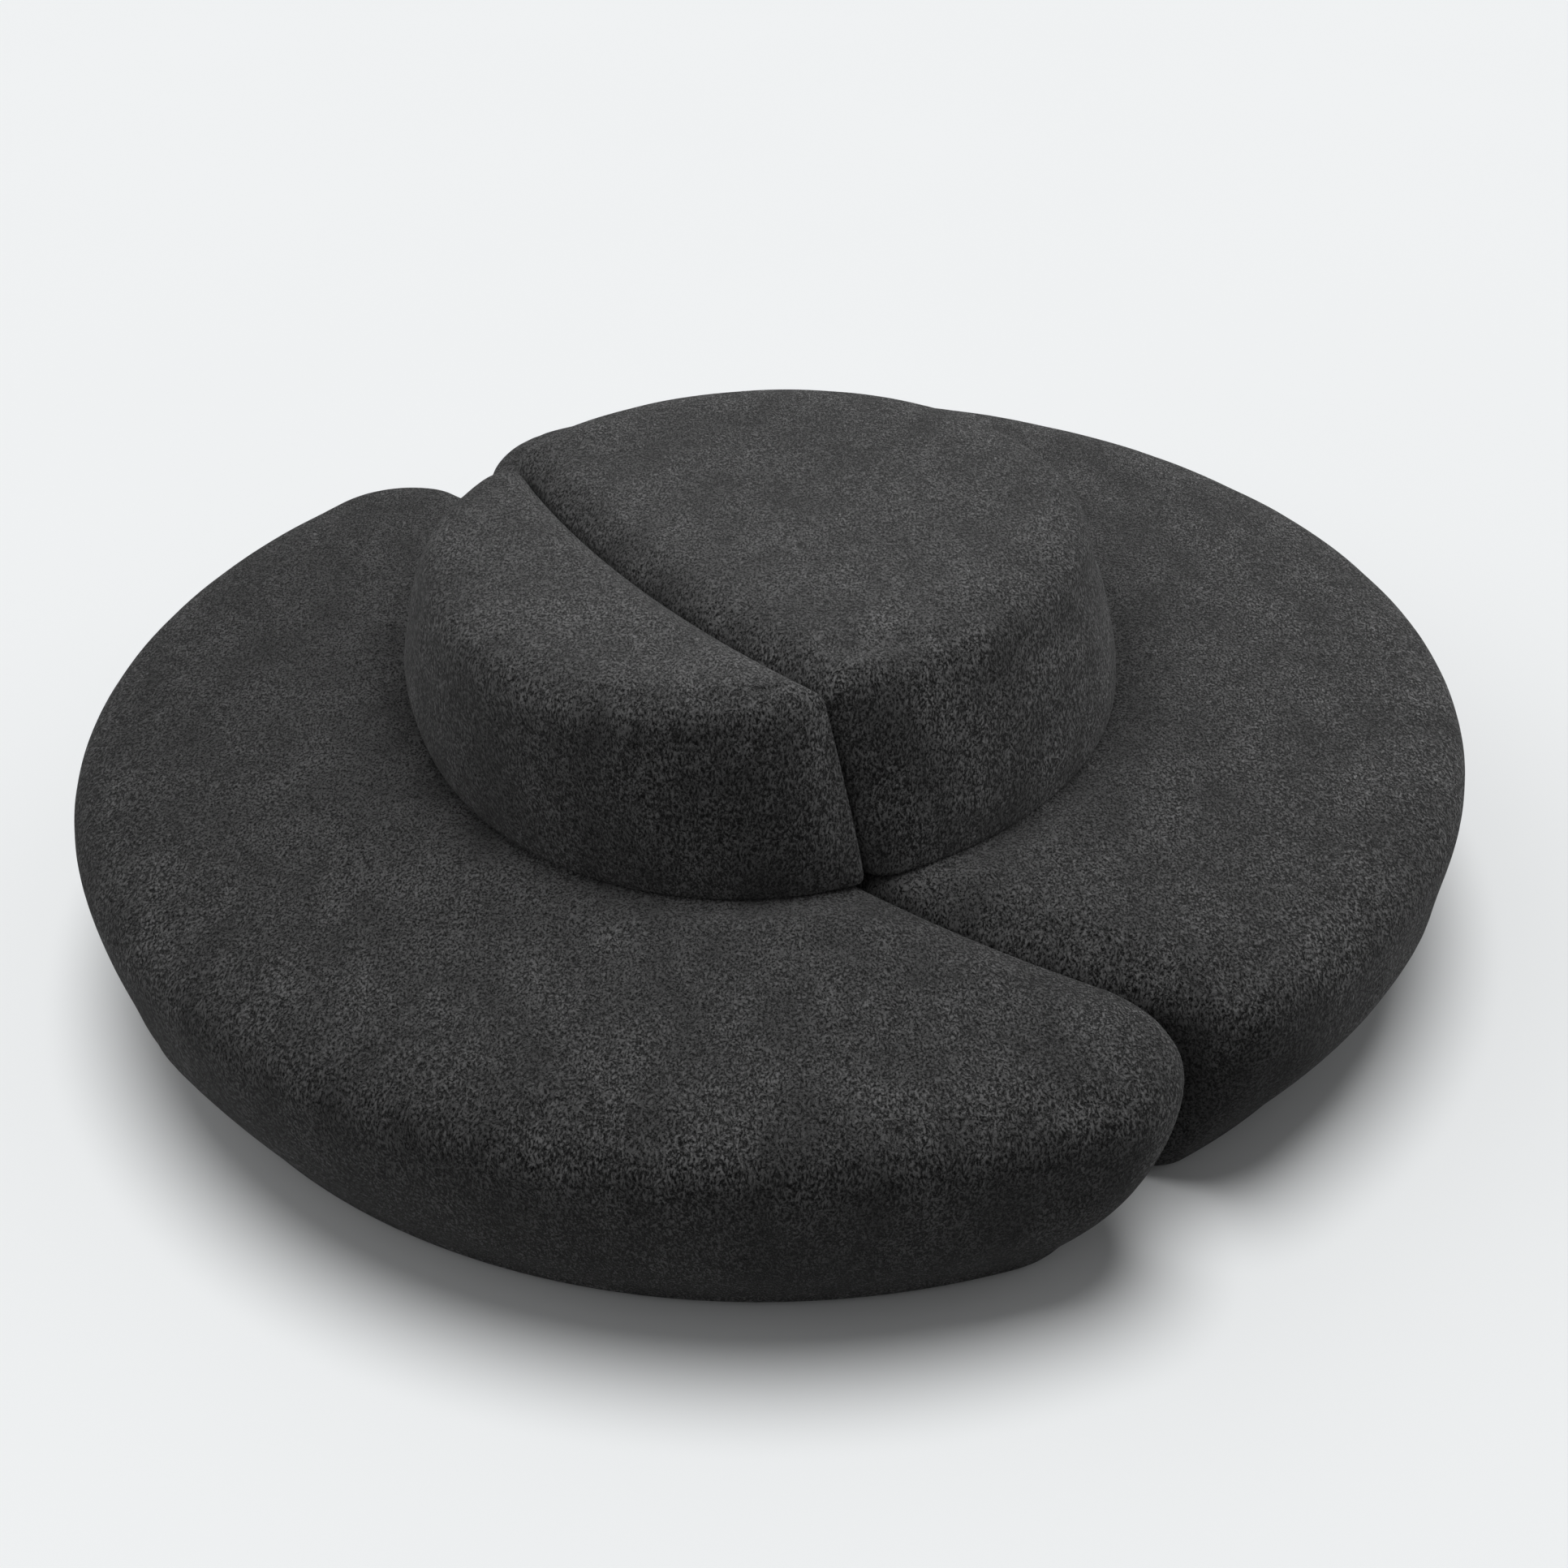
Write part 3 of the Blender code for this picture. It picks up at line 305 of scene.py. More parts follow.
def seat_levels(module, runs):
    """Level lines of a seat cover from the edge of its turned-in hem up to the crown."""
    def line(inset, seam_inset, height):
        insets = (inset + SEAT_SLACK, seam_inset + SEAT_SLACK)
        return level_line(module["seat"], module["side"], module["seat_corners"], insets, height, runs)

    lines = []
    foot = FLOOR_GAP + SEAT_BOTTOM_ROUND
    shoulder = SEAT_HEIGHT - SEAT_CROWN - SEAT_TOP_ROUND
    for share in (1.0, 0.5):
        reach = SEAT_BOTTOM_ROUND + SEAT_HEM_WIDTH * share
        lines.append(line(SEAT_TAPER + reach, reach, FLOOR_GAP))
    for degrees in BOTTOM_ROUND_DEGREES:
        reach = SEAT_BOTTOM_ROUND * (1 - math.cos(math.radians(degrees)))
        height = foot - SEAT_BOTTOM_ROUND * math.sin(math.radians(degrees))
        lines.append(line(SEAT_TAPER + reach, reach, height))
    for step in range(SIDE_STEPS + 1):
        share = step / SIDE_STEPS
        taper = SEAT_TAPER * (1 - share) ** SEAT_TAPER_POWER
        lines.append(line(taper, 0, foot + (shoulder - foot) * share))
    for degrees in TOP_ROUND_DEGREES:
        reach = SEAT_TOP_ROUND * (1 - math.cos(math.radians(degrees)))
        height = shoulder + SEAT_TOP_ROUND * math.sin(math.radians(degrees))
        lines.append(line(reach, reach, height))
    return lines


def seat_looseness(module):
    """How freely each point of a seat cover may swell: not at the seam, the hem or under the back."""
    def share(point):
        flat = Vector((point.x, point.y))
        to_seam = abs((flat - seam_centre).length - SEAM_RADIUS)
        middle = module["back_foot"][0]
        spot = flat - middle
        angle = math.atan2(spot.y, spot.x)
        clear = spot.length - (oval_point(module["back_foot"], angle, 0) - middle).length
        off_back = 1.0 if point.z < SEAT_HEIGHT - SEAT_TOP_ROUND else ease(clear / SEAT_BACK_EASE)
        off_seam = ease((to_seam - SEAT_SEAM_HELD) / SEAT_SEAM_EASE)
        return off_seam * ease((point.z - SEAT_HEM_HELD) / SEAT_HEM_EASE) * off_back

    return share


def linear(hex_colour):
    """Linear colour of an sRGB hex value."""
    parts = [int(hex_colour[start:start + 2], 16) / 255 for start in (1, 3, 5)]
    return (*[part / 12.92 if part <= 0.04045 else ((part + 0.055) / 1.055) ** 2.4 for part in parts], 1)


def set_inputs(material, node, inputs):
    """Sets each input of a node to a value, or links it to an output socket."""
    for name, value in inputs.items():
        if isinstance(value, bpy.types.NodeSocket):
            material.node_tree.links.new(value, node.inputs[name])
        else:
            node.inputs[name].default_value = value


def add_node(material, kind, inputs, **settings):
    """Adds a node to a material and fills its inputs."""
    made = material.node_tree.nodes.new(kind)
    for name, value in settings.items():
        setattr(made, name, value)
    set_inputs(material, made, inputs)
    return made


def own_place(material):
    """Place on a piece in its own metres."""
    return add_node(material, "ShaderNodeTexCoord", {}).outputs["Object"]


def speckle(material, place, size, detail, roughness=0.5):
    """Soft random spots of about one size."""
    look = {"Vector": place, "Scale": 1 / size, "Detail": detail, "Roughness": roughness}
    return add_node(material, "ShaderNodeTexNoise", look)


def spread_out(material, value, low, high, bottom=0.0, top=1.0):
    """Spreads the values from low to high over the range from bottom to top."""
    ends = {0: value, 1: low, 2: high, 3: bottom, 4: top}
    return add_node(material, "ShaderNodeMapRange", ends).outputs[0]


def mixed_value(material, share, low, high):
    """The value a share of the way from one to another."""
    return add_node(material, "ShaderNodeMix", {0: share, 2: low, 3: high}, data_type="FLOAT").outputs[0]


def mixed_colour(material, share, low, high):
    """The colour a share of the way from one to another."""
    return add_node(material, "ShaderNodeMix", {0: share, 6: low, 7: high}, data_type="RGBA").outputs[2]


def maths(material, operation, one, two):
    """Result of one sum on two values."""
    return add_node(material, "ShaderNodeMath", {0: one, 1: two}, operation=operation).outputs[0]


def bump(material, height, strength, distance):
    """Surface direction of a relief as deep as distance."""
    look = {"Height": height, "Strength": strength, "Distance": distance}
    return add_node(material, "ShaderNodeBump", look)


def new_material(name):
    """An empty node material and its shader."""
    material = bpy.data.materials.new(name)
    material.use_nodes = True
    return material, material.node_tree.nodes["Principled BSDF"]


# The real curls are about 3 mm across. They are drawn coarser, so that they show in a picture of
# the whole sofa, and are longer along the nap than across it.
CURL = 0.0055
FIBRE = 0.0038
TUFT = 0.017
BRUSHED_PATCH = 0.090
WORN_AREA = 0.5
NAP_STRETCH = (1.0, 0.6, 0.6)


def plush_boucle():
    """Short curled pile, matt: grey curls with pits between them painted near-black as their shade, in
    patches brushed both ways whose lighter and darker sheen is painted in the colour.
    """
    cloth, shader = new_material("charcoal_plush_boucle")
    place = own_place(cloth)
    nap = add_node(cloth, "ShaderNodeMapping", {"Vector": place, "Scale": NAP_STRETCH}).outputs["Vector"]
    drift = speckle(cloth, nap, TUFT, 2.0).outputs["Color"]
    bent = add_node(cloth, "ShaderNodeMix", {0: 0.010, 4: nap, 5: drift}, data_type="VECTOR").outputs[1]
    curls = {"Vector": bent, "Scale": 1 / CURL}
    curls = add_node(cloth, "ShaderNodeTexVoronoi", curls, feature="SMOOTH_F1").outputs["Distance"]
    fibres = speckle(cloth, bent, FIBRE, 4.0, 0.7).outputs["Fac"]
    tufts = speckle(cloth, nap, TUFT, 2.0, 0.6).outputs["Fac"]
    brushed = speckle(cloth, nap, BRUSHED_PATCH, 3.0, 0.55).outputs["Fac"]
    worn = speckle(cloth, place, WORN_AREA, 2.0).outputs["Fac"]
    heads = spread_out(cloth, curls, 0.62, 0.14)
    grain = spread_out(cloth, fibres, 0.42, 0.58)
    clump = spread_out(cloth, tufts, 0.36, 0.66)
    mass = mixed_value(cloth, 0.18, mixed_value(cloth, 0.75, heads, grain), clump)
    # The near-black in the pits between the curls is painted shade of the hollows; the grey of the
    # curls' heads is the yarn's own colour.
    tips_and_pit_shade = spread_out(cloth, mass, 0.40, 0.66)
    tone = mixed_colour(cloth, tips_and_pit_shade, linear("#000000"), linear("#6E6E6E"))
    # Patches of nap brushed different ways are painted lighter and darker here as painted sheen: the
    # pile has one colour, and only the light it catches differs.
    nap_sheen_patch = spread_out(cloth, brushed, 0.32, 0.68, 0.62, 1.38)
    area = spread_out(cloth, worn, 0.30, 0.70, 0.90, 1.10)
    shade = {0: tone, "Scale": maths(cloth, "MULTIPLY", nap_sheen_patch, area)}
    colour = add_node(cloth, "ShaderNodeVectorMath", shade, operation="SCALE").outputs[0]
    lie = bump(cloth, brushed, 0.5, 0.014)
    pile = bump(cloth, mass, 1.0, 0.005)
    set_inputs(cloth, pile, {"Normal": lie.outputs[0]})
    set_inputs(cloth, shader, {
        "Base Color": colour,
        "Normal": pile.outputs[0],
        "Roughness": 0.95,
        "Specular IOR Level": 0.12,
        "Sheen Weight": 0.25,
        "Sheen Roughness": 0.5,
        "Sheen Tint": linear("#FFFFFF"),
    })
    return cloth


boucle = plush_boucle()
front_back_oval = (0.111, 106.6)
front_plan = {
    "side": FRONT,
    "seat": oval(FRONT, 0.9920, 0.0260, 1.340, 0.026, 42.0),
    "seat_corners": (0.205, 0.190),
    "back_foot": oval(FRONT, 0.4334, -0.0822, 0.652, *front_back_oval),
    "back_top": oval(FRONT, 0.4170, 0.0031, 0.485, *front_back_oval),
    "back_corners": (0.035, 0.024),
}
front_seat_runs = (112, 26)
front_seat_lines = seat_levels(front_plan, front_seat_runs)
front_seat = padded_shell(
    "front_seat_boucle", front_seat_lines, front_seat_runs, SEAT_CROWN, SEAT_CROWN_WIDTH
)
blow_out(front_seat, seat_looseness(front_plan), SEAT_PRESSURE, SEAT_SWELL)
give_thickness(front_seat)
front_seat.data.materials.append(boucle)
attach(front_seat, "front_module")
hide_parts("front_seat_cover")


# Rear seat cover: the same cloth and make over the fuller seat, whose seam side bulges into the
# hollow of the front one.
rear_back_oval = (0.041, 52.0)
rear_plan = {
    "side": REAR,
    "seat": oval(REAR, 1.6667, -0.0183, 1.272, 0.013, 75.0),
    "seat_corners": (0.240, 0.090),
    "back_foot": oval(REAR, 0.9925, -0.0328, 0.701, *rear_back_oval),
    "back_top": oval(REAR, 0.9092, -0.0288, 0.612, *rear_back_oval),
    "back_corners": (0.070, 0.060),
}
rear_seat_runs = (110, 36)
rear_seat_lines = seat_levels(rear_plan, rear_seat_runs)
rear_seat = padded_shell(
    "rear_seat_boucle", rear_seat_lines, rear_seat_runs, SEAT_CROWN, SEAT_CROWN_WIDTH
)
blow_out(rear_seat, seat_looseness(rear_plan), SEAT_PRESSURE, SEAT_SWELL)
give_thickness(rear_seat)
rear_seat.data.materials.append(boucle)
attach(rear_seat, "rear_module")
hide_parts("rear_seat_cover")


# Backrest covers: jackets of the same boucle over foam hoods, closed under the foot board with a
# stapled hem. They lean in towards the top and press flat against each other along the seam.
TOTAL_HEIGHT = 0.744
BACK_CROWN = 0.005
BACK_CROWN_WIDTH = 0.070
BACK_TOP_ROUND = 0.038
BACK_FOOT_ROUND = 0.008
BACK_HEM_WIDTH = 0.037
BACK_SLACK = 0.0012
BACK_SWELL = 0.005
BACK_PRESSURE = 4.0
BACK_SEAM_HELD = 0.003
BACK_SEAM_EASE = 0.080
BACK_HEM_HELD = 0.010
BACK_HEM_EASE = 0.050
BACK_FOOT_DEGREES = (90, 50, 20)
BACK_LIFT = 0.0003
back_bottom = SEAT_HEIGHT + BACK_LIFT


def between(low, high, share):
    """The oval a share of the way from one to another."""
    return low[0].lerp(high[0], share), low[1] + (high[1] - low[1]) * share, low[2], low[3]


def back_levels(module, runs):
    """Level lines of a backrest cover from the edge of its hem up to the crown."""
    def line(rise, inset, height):
        template = between(module["back_foot"], module["back_top"], rise)
        insets = (inset + BACK_SLACK, inset + BACK_SLACK)
        return level_line(template, module["side"], module["back_corners"], insets, height, runs)

    foot = back_bottom + BACK_FOOT_ROUND
    shoulder = TOTAL_HEIGHT - BACK_CROWN - BACK_TOP_ROUND
    lines = [line(0, BACK_FOOT_ROUND + BACK_HEM_WIDTH, back_bottom)]
    for degrees in BACK_FOOT_DEGREES:
        reach = BACK_FOOT_ROUND * (1 - math.cos(math.radians(degrees)))
        lines.append(line(0, reach, foot - BACK_FOOT_ROUND * math.sin(math.radians(degrees))))
    for step in range(SIDE_STEPS + 1):
        share = step / SIDE_STEPS
        lines.append(line(share, 0, foot + (shoulder - foot) * share))
    for degrees in TOP_ROUND_DEGREES:
        reach = BACK_TOP_ROUND * (1 - math.cos(math.radians(degrees)))
        lines.append(line(1, reach, shoulder + BACK_TOP_ROUND * math.sin(math.radians(degrees))))
    return lines


def back_looseness(point):
    """How freely each point of a backrest cover may swell: not at the seam or the hem."""
    to_seam = abs((Vector((point.x, point.y)) - seam_centre).length - SEAM_RADIUS)
    off_seam = ease((to_seam - BACK_SEAM_HELD) / BACK_SEAM_EASE)
    return off_seam * ease((point.z - back_bottom - BACK_HEM_HELD) / BACK_HEM_EASE)


for side_name, plan, runs in (("front", front_plan, (96, 20)), ("rear", rear_plan, (100, 30))):
    lines = back_levels(plan, runs)
    back = padded_shell(side_name + "_back_boucle", lines, runs, BACK_CROWN, BACK_CROWN_WIDTH)
    blow_out(back, back_looseness, BACK_PRESSURE, BACK_SWELL)
    give_thickness(back)
    back.data.materials.append(boucle)
    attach(back, side_name + "_module")
    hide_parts(side_name + "_back_cover")


# Foam under the covers: cut polyurethane glued round each frame, with its corners eased. It is a
# matt, faintly pitted cream that has yellowed unevenly. Its cells, really under 1 mm, are drawn at
# 3 mm so that they show.
SEAT_FOAM_EASE = 0.008
BACK_FOAM_EASE = 0.005
FOAM_CELL = 0.003
YELLOWED_AREA = 0.2
MERGE_DISTANCE = 0.00001

foam, foam_shader = new_material("cut_polyurethane_foam")
place = own_place(foam)
cells = add_node(foam, "ShaderNodeTexVoronoi", {"Vector": place, "Scale": 1 / FOAM_CELL})
yellowed = speckle(foam, place, YELLOWED_AREA, 3.0).outputs["Fac"]
set_inputs(foam, foam_shader, {
    "Base Color": mixed_colour(foam, yellowed, linear("#E4DEC4"), linear("#CDBE8E")),
    "Normal": bump(foam, cells.outputs["Distance"], 0.5, 0.001).outputs[0],
    "Roughness": 0.95,
})


def copy_of_node(name, node):
    """A copy of a node's mesh with its loose triangles merged, as a new piece."""
    mesh = nodes[node].data.copy()
    mesh.materials.clear()
    shape = bmesh.new()
    shape.from_mesh(mesh)
    bmesh.ops.remove_doubles(shape, verts=shape.verts, dist=MERGE_DISTANCE)
    shape.to_mesh(mesh)
    shape.free()
    piece = bpy.data.objects.new(name, mesh)
    bpy.context.collection.objects.link(piece)
    return piece


foam_pieces = (
    ("front_seat_padding", "front_seat_foam", "front_module", SEAT_FOAM_EASE),
    ("front_back_padding", "front_back_foam", "front_module", BACK_FOAM_EASE),
    ("rear_seat_padding", "rear_seat_foam", "rear_module", SEAT_FOAM_EASE),
    ("rear_back_padding", "rear_back_foam", "rear_module", BACK_FOAM_EASE),
)
for name, node, body, eased in foam_pieces:
    padding = copy_of_node(name, node)
    for vert, normal in [(vert, vert.normal.copy()) for vert in padding.data.vertices]:
        vert.co -= normal * eased
    choose(padding)
    fine = padding.modifiers.new("fine", "SUBSURF")
    fine.subdivision_type = "SIMPLE"
    fine.levels = 1
    fine.render_levels = 1
    bpy.ops.object.modifier_apply(modifier="fine")
    padding.data.materials.append(foam)
    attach(padding, body)
    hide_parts(node)


# Dust covers: black spun-bonded cloth stapled flat across the underside of each base board, with
# holes for the glides and screws. The fine grid of dimples where its strands are bonded, really
# about 1 mm apart, is drawn at 3 mm so that it shows.
BOND_PITCH = 0.003
STRAND = 0.004
LONGEST_EDGE = 0.12
SHEET_SPLITS = 3
CLOTH_SAG = 0.0006
SAGS_PER_METRE = 4.0

lining, lining_shader = new_material("spun_bonded_lining")
place = own_place(lining)
bonds = {"Vector": place, "Scale": 1 / BOND_PITCH, "Randomness": 0.15}
bonds = add_node(lining, "ShaderNodeTexVoronoi", bonds).outputs["Distance"]
strands = speckle(lining, place, STRAND, 4.0).outputs["Fac"]
set_inputs(lining, lining_shader, {
    "Base Color": mixed_colour(lining, strands, linear("#161616"), linear("#2A2A2A")),
    "Normal": bump(lining, bonds, 0.6, 0.0006).outputs[0],
    "Roughness": 0.8,
})

for side_name in ("front", "rear"):
    sheet = copy_of_node(side_name + "_underlining", side_name + "_dust_cover")
    shape = bmesh.new()
    shape.from_mesh(sheet.data)
    for _ in range(SHEET_SPLITS):
        long_edges = [edge for edge in shape.edges if edge.calc_length() > LONGEST_EDGE]
        bmesh.ops.subdivide_edges(shape, edges=long_edges, cuts=1)
        bmesh.ops.triangulate(shape, faces=[face for face in shape.faces if len(face.verts) > 3])
    cut_area = sum(face.calc_area() for face in shape.faces) / 2
    for vert in shape.verts:
        vert.co.z -= CLOTH_SAG * ease(0.5 + noise.noise(vert.co * SAGS_PER_METRE))
    shape.to_mesh(sheet.data)
    shape.free()
    sheet.data.materials.append(lining)
    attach(sheet, side_name + "_module")
    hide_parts(side_name + "_dust_cover")


# Frame boards: birch plywood, sawn on the edges. The faces show long pale grain, and the edges the
# thin plies that lie across each other.
PLY = 0.0014
GRAIN = 0.006
GRAIN_STRETCH = (1.0, 0.06, 1.0)

birch, birch_shader = new_material("raw_birch_plywood")
place = own_place(birch)
long_grain = add_node(birch, "ShaderNodeMapping", {"Vector": place, "Scale": GRAIN_STRETCH}).outputs[0]
grain = speckle(birch, long_grain, GRAIN, 5.0, 0.6).outputs["Fac"]
height = add_node(birch, "ShaderNodeSeparateXYZ", {0: place}).outputs["Z"]
layer = maths(birch, "MULTIPLY", height, math.pi / PLY)
plies = add_node(birch, "ShaderNodeMath", {0: layer}, operation="SINE").outputs[0]
tone = mixed_colour(birch, grain, linear("#E0C396"), linear("#B98E5A"))
dark_plies = spread_out(birch, plies, -0.4, 0.4, 0.0, 0.25)
set_inputs(birch, birch_shader, {
    "Base Color": mixed_colour(birch, dark_plies, tone, linear("#8A5F36")),
    "Normal": bump(birch, grain, 0.25, 0.0005).outputs[0],
    "Roughness": 0.6,
})


def dress(word_list, material):
    """Gives a material to every node of the frame whose name has one of the words."""
    for name, node in nodes.items():
        if any(word in name for word in word_list):
            node.data.materials.clear()
            node.data.materials.append(material)


dress(("board", "deck", "rim", "rib", "panel"), birch)


# Elastic straps: woven dark webbing, stapled crosswise over the deck openings. The ridges of its
# weave, really about 1 mm apart, are drawn at 5 mm so that they show.
WEAVE_SCALE = 90.0
RUBBER_THREAD = 0.002

webbing, webbing_shader = new_material("woven_elastic_webbing")
place = own_place(webbing)
weave = {"Vector": place, "Scale": WEAVE_SCALE, "Distortion": 0.6, "Detail": 1.0}
weave = add_node(webbing, "ShaderNodeTexWave", weave, bands_direction="DIAGONAL").outputs["Fac"]
rubber = speckle(webbing, place, RUBBER_THREAD, 2.0).outputs["Fac"]
threads = bump(webbing, weave, 0.6, 0.0008)
knit = bump(webbing, rubber, 0.3, 0.0004)
set_inputs(webbing, knit, {"Normal": threads.outputs[0]})
set_inputs(webbing, webbing_shader, {
    "Base Color": mixed_colour(webbing, weave, linear("#1C1A18"), linear("#4C4640")),
    "Normal": knit.outputs[0],
    "Roughness": 0.85,
})
dress(("strap_mat",), webbing)


# Glides: moulded black nylon discs nailed into the base boards, scuffed grey where they slide on
# the floor.
SCUFF = 0.004
SCUFF_HEIGHT = 0.0012

nylon, nylon_shader = new_material("moulded_nylon")
place = own_place(nylon)
scuffs = speckle(nylon, place, SCUFF, 5.0, 0.7).outputs["Fac"]
height = add_node(nylon, "ShaderNodeSeparateXYZ", {0: place}).outputs["Z"]
wear = maths(nylon, "MULTIPLY", spread_out(nylon, height, SCUFF_HEIGHT, 0.0), scuffs)
set_inputs(nylon, nylon_shader, {
    "Base Color": mixed_colour(nylon, wear, linear("#121212"), linear("#5A5856")),
    "Normal": bump(nylon, scuffs, 0.2, 0.0003).outputs[0],
    "Roughness": spread_out(nylon, scuffs, 0.3, 0.7, 0.38, 0.6),
})
dress(("glide",), nylon)


# Steel parts: zinc-plated stands, bolts, hooks and shoulder screws. The plating is satin grey with
# a faint blue cast, cloudy in places and brightest where tools have rubbed it.
CLOUD = 0.020
SCRATCH = 0.001

zinc, zinc_shader = new_material("zinc_plated_steel")
place = own_place(zinc)
clouds = speckle(zinc, place, CLOUD, 4.0).outputs["Fac"]
scratches = speckle(zinc, place, SCRATCH, 3.0).outputs["Fac"]
set_inputs(zinc, zinc_shader, {
    "Base Color": mixed_colour(zinc, clouds, linear("#8C9096"), linear("#B9BCBE")),
    "Normal": bump(zinc, scratches, 0.12, 0.0002).outputs[0],
    "Roughness": spread_out(zinc, clouds, 0.3, 0.7, 0.28, 0.48),
    "Metallic": 1.0,
})
dress(("stand", "bolt", "hook", "stud", "screw"), zinc)


# Staples: zinc-coated wire, shot through the hem and the dust cover into the base board. Each has a
# flat crown and two short legs bent square to it.
STAPLE_LENGTH = 0.010
STAPLE_WIRE = 0.0012
STAPLE_LEG = 0.005
STAPLE_PITCH = 0.036
HEM_STAPLE_INSET = 0.018
SHEET_STAPLE_INSET = 0.042
HEM_STAPLE_HEIGHT = FLOOR_GAP - 0.0002
SHEET_STAPLE_HEIGHT = FLOOR_GAP + 0.0012
STAPLE_LINE_RUNS = (100, 20)
FACING = 0.9


def pick_faces(piece, wanted):
    """Selects the wanted faces of a piece in edit mode, and nothing else."""
    bpy.ops.mesh.select_all(action="DESELECT")
    shape = bmesh.from_edit_mesh(piece.data)
    for face in [face for face in shape.faces if wanted(face)]:
        face.select_set(True)
    bmesh.update_edit_mesh(piece.data)


def bent_staple():
    """One staple: a flat bar whose ends are drawn out and turned up into legs."""
    bpy.ops.object.select_all(action="DESELECT")
    bpy.ops.mesh.primitive_cube_add(size=1)
    staple = bpy.context.object
    bpy.ops.object.mode_set(mode="EDIT")
    bpy.ops.transform.resize(value=(STAPLE_LENGTH, STAPLE_WIRE, STAPLE_WIRE / 2))
    for side in (-1, 1):
        pick_faces(staple, lambda face: face.normal.x * side > FACING)
        end = {"value": (side * STAPLE_WIRE / 2, 0, 0)}
        bpy.ops.mesh.extrude_region_move(TRANSFORM_OT_translate=end)

        def end_top(face):
            return face.normal.z > FACING and face.calc_center_median().x * side > STAPLE_LENGTH / 2

        pick_faces(staple, end_top)
        leg = {"value": (0, 0, STAPLE_LEG)}
        bpy.ops.mesh.extrude_region_move(TRANSFORM_OT_translate=leg)
    bpy.ops.mesh.select_all(action="SELECT")
    bpy.ops.mesh.dissolve_limited()
    bpy.ops.mesh.bevel(offset=STAPLE_WIRE / 8, segments=1, affect="EDGES")
    bpy.ops.object.mode_set(mode="OBJECT")
    return staple


def staples(name, body, lines):
    """One staple copied along stapling lines into one piece."""
    one = bent_staple()
    one.name = name
    unit = one.data.copy()
    joined = bmesh.new()
    for line in lines:
        walked = 0.0
        for start, end in zip(line, line[1:] + line[:1]):
            step = end - start
            while walked < step.length:
                spot = start + step.normalized() * walked
                angle = math.atan2(step.y, step.x)
                before = len(joined.verts)
                joined.from_mesh(unit)
                joined.verts.ensure_lookup_table()
                for vert in joined.verts[before:]:
                    x, y, z = vert.co
                    vert.co = Vector((
                        spot.x + x * math.cos(angle) - y * math.sin(angle),
                        spot.y + x * math.sin(angle) + y * math.cos(angle),
                        spot.z + z,
                    ))
                walked += STAPLE_PITCH
            walked -= step.length
    joined.to_mesh(one.data)
    joined.free()
    one.data.materials.append(zinc)
    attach(one, body)


def staple_line(module, inset, height):
    """Line under a seat that runs along the inner end of its bottom round, further in by an inset."""
    reach = SEAT_BOTTOM_ROUND + inset
    insets = (SEAT_TAPER + reach, reach)
    return level_line(
        module["seat"], module["side"], module["seat_corners"], insets, height, STAPLE_LINE_RUNS
    )


for side_name, plan in (("front", front_plan), ("rear", rear_plan)):
    hem_line = staple_line(plan, HEM_STAPLE_INSET, HEM_STAPLE_HEIGHT)
    sheet_line = staple_line(plan, SHEET_STAPLE_INSET, SHEET_STAPLE_HEIGHT)
    staples(side_name + "_hem_staples", side_name + "_module", [hem_line, sheet_line])


# Floor: a seamless pale studio floor. The camera sees it nearly white, and it throws little light
# back up, as a wide floor with a dark surround does, so the sides of the sofa stay deep.
FLOOR_SIZE = 60
FLOOR_MOTTLE = 1 / 0.6

bpy.ops.object.select_all(action="DESELECT")
bpy.ops.mesh.primitive_plane_add(size=FLOOR_SIZE)
floor = bpy.context.object
floor.name = "studio_floor"


def seen_directly(material):
    """1 for what the camera sees itself or in a gloss, 0 for the light that is thrown on."""
    rays = add_node(material, "ShaderNodeLightPath", {}).outputs
    return maths(material, "MAXIMUM", rays["Is Camera Ray"], rays["Is Glossy Ray"])


paper, paper_shader = new_material("studio_paper")
cloudy = speckle(paper, own_place(paper), FLOOR_MOTTLE, 2.0).outputs["Fac"]
white = mixed_colour(paper, cloudy, linear("#F2F4F5"), linear("#F4F6F7"))
set_inputs(paper, paper_shader, {
    "Base Color": mixed_colour(paper, seen_directly(paper), linear("#494949"), white),
    "Roughness": 1.0,
    "Specular IOR Level": 0.0,
})
floor.data.materials.append(paper)


# Light: softboxes over the front, on the right and low behind light the sofa, between pale walls on
# the left and right. The floor has its own overhead light, which gives the short soft shadow all
# round the base.
FLOOR_LIGHT_POWER = 2.2
FLOOR_LIGHT_ANGLE = math.radians(36)
FLOOR_LIGHT_TURN = (math.radians(-7), math.radians(-1), 0)
LEFT_WALL = (0.85, 0.85, 0.85, 1)
RIGHT_WALL = (0.44, 0.44, 0.44, 1)
DARK_MIDDLE = (0, 0, 0, 1)

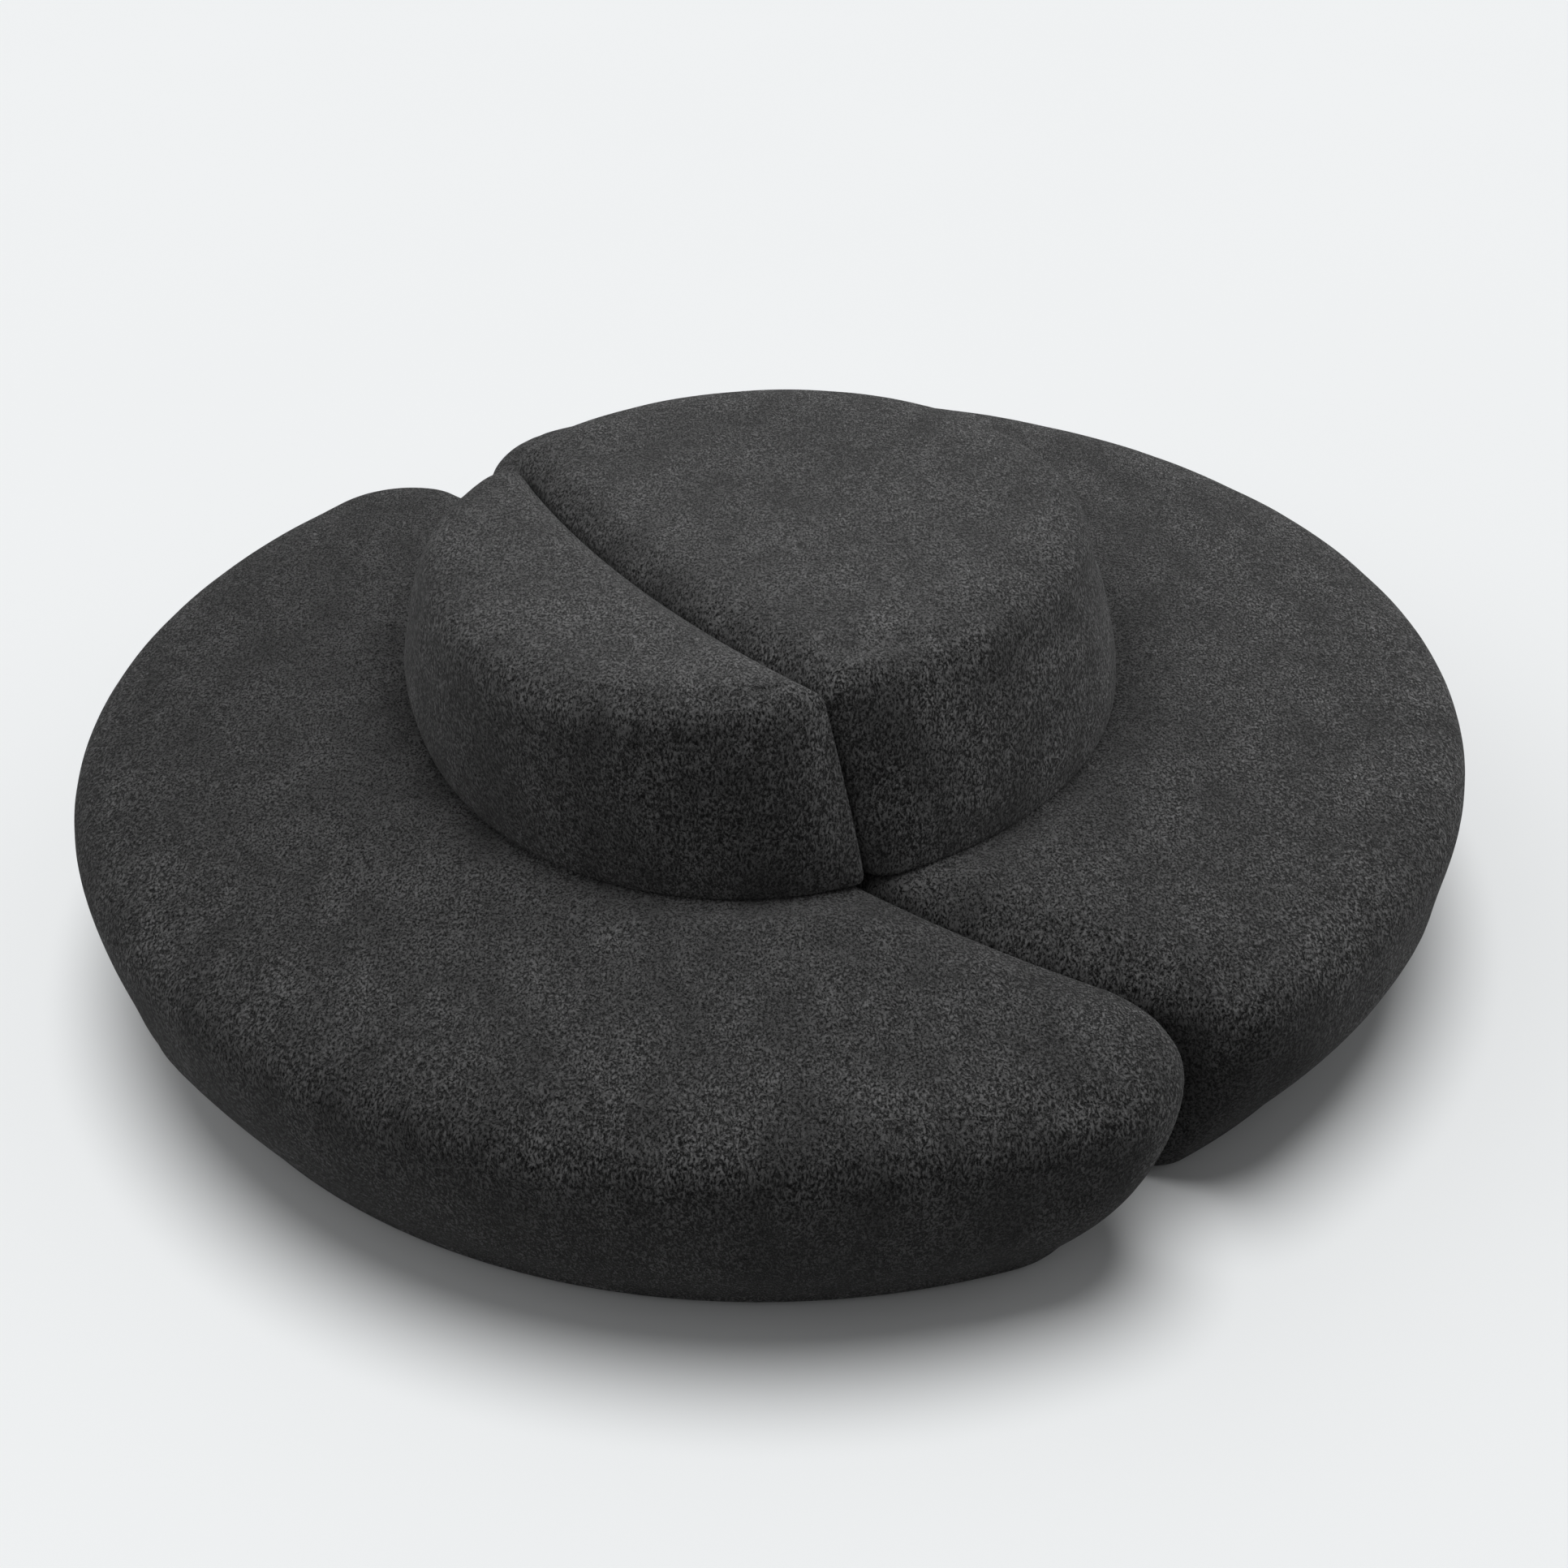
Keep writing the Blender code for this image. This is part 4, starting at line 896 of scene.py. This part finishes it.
off_floor = bpy.data.collections.new("not_lit_by_softboxes")
off_floor.objects.link(floor)
off_floor.collection_objects[0].light_linking.link_state = "EXCLUDE"
softboxes = (
    ("overhead_softbox", 10, (1.5, 1.0), (-0.2, -0.6, 2.4), (-0.2, -0.5, 0.5)),
    ("right_softbox", 37, (1.5, 2.0), (3.2, 0.6, 2.0), (0, 0, 0.5)),
    ("back_softbox", 31, (4.5, 1.0), (0.3, 3.0, 1.9), (0, 0, 0.5)),
)
for name, power, size, spot, target in softboxes:
    lamp = bpy.data.objects.new(name, bpy.data.lights.new(name, "AREA"))
    lamp.data.energy = power
    lamp.data.shape = "RECTANGLE"
    lamp.data.size, lamp.data.size_y = size
    lamp.location = spot
    lamp.rotation_euler = (Vector(target) - Vector(spot)).to_track_quat("-Z", "Y").to_euler()
    lamp.light_linking.receiver_collection = off_floor
    bpy.context.collection.objects.link(lamp)

on_floor = bpy.data.collections.new("lit_by_floor_light")
on_floor.objects.link(floor)
overhead = bpy.data.objects.new("floor_light", bpy.data.lights.new("floor_light", "SUN"))
overhead.data.energy = FLOOR_LIGHT_POWER
overhead.data.angle = FLOOR_LIGHT_ANGLE
overhead.rotation_euler = FLOOR_LIGHT_TURN
overhead.light_linking.receiver_collection = on_floor
bpy.context.collection.objects.link(overhead)

world = bpy.data.worlds.new("studio")
world.use_nodes = True
bpy.context.scene.world = world
surround = world.node_tree.nodes["Background"]
surround.inputs["Strength"].default_value = 1.0
heading = add_node(world, "ShaderNodeTexCoord", {}).outputs["Generated"]
heading = add_node(world, "ShaderNodeSeparateXYZ", {0: heading}).outputs["X"]
walls = add_node(world, "ShaderNodeValToRGB", {0: spread_out(world, heading, -1.0, 1.0)})
walls.color_ramp.elements[0].color = LEFT_WALL
walls.color_ramp.elements[1].color = RIGHT_WALL
walls.color_ramp.elements.new(0.5).color = DARK_MIDDLE
glow = mixed_colour(world, seen_directly(world), walls.outputs[0], linear("#EEF0F1"))
set_inputs(world, surround, {"Color": glow})


# Camera: the photograph's view, from the front and above. The lens, the place and the tilt are the
# ones that fit the sofa's outlines in the photograph best.
CAMERA_LENS = 48.07
CAMERA_SENSOR = 36
CAMERA_PLACE = (0.0056, -3.474, 2.525)
CAMERA_TILT = 34.27

camera = bpy.data.objects.new("camera", bpy.data.cameras.new("camera"))
camera.data.lens = CAMERA_LENS
camera.data.sensor_width = CAMERA_SENSOR
camera.location = CAMERA_PLACE
camera.rotation_euler = (math.radians(90 - CAMERA_TILT), 0, 0)
bpy.context.collection.objects.link(camera)
bpy.context.scene.camera = camera
bpy.context.scene.view_settings.view_transform = "Standard"
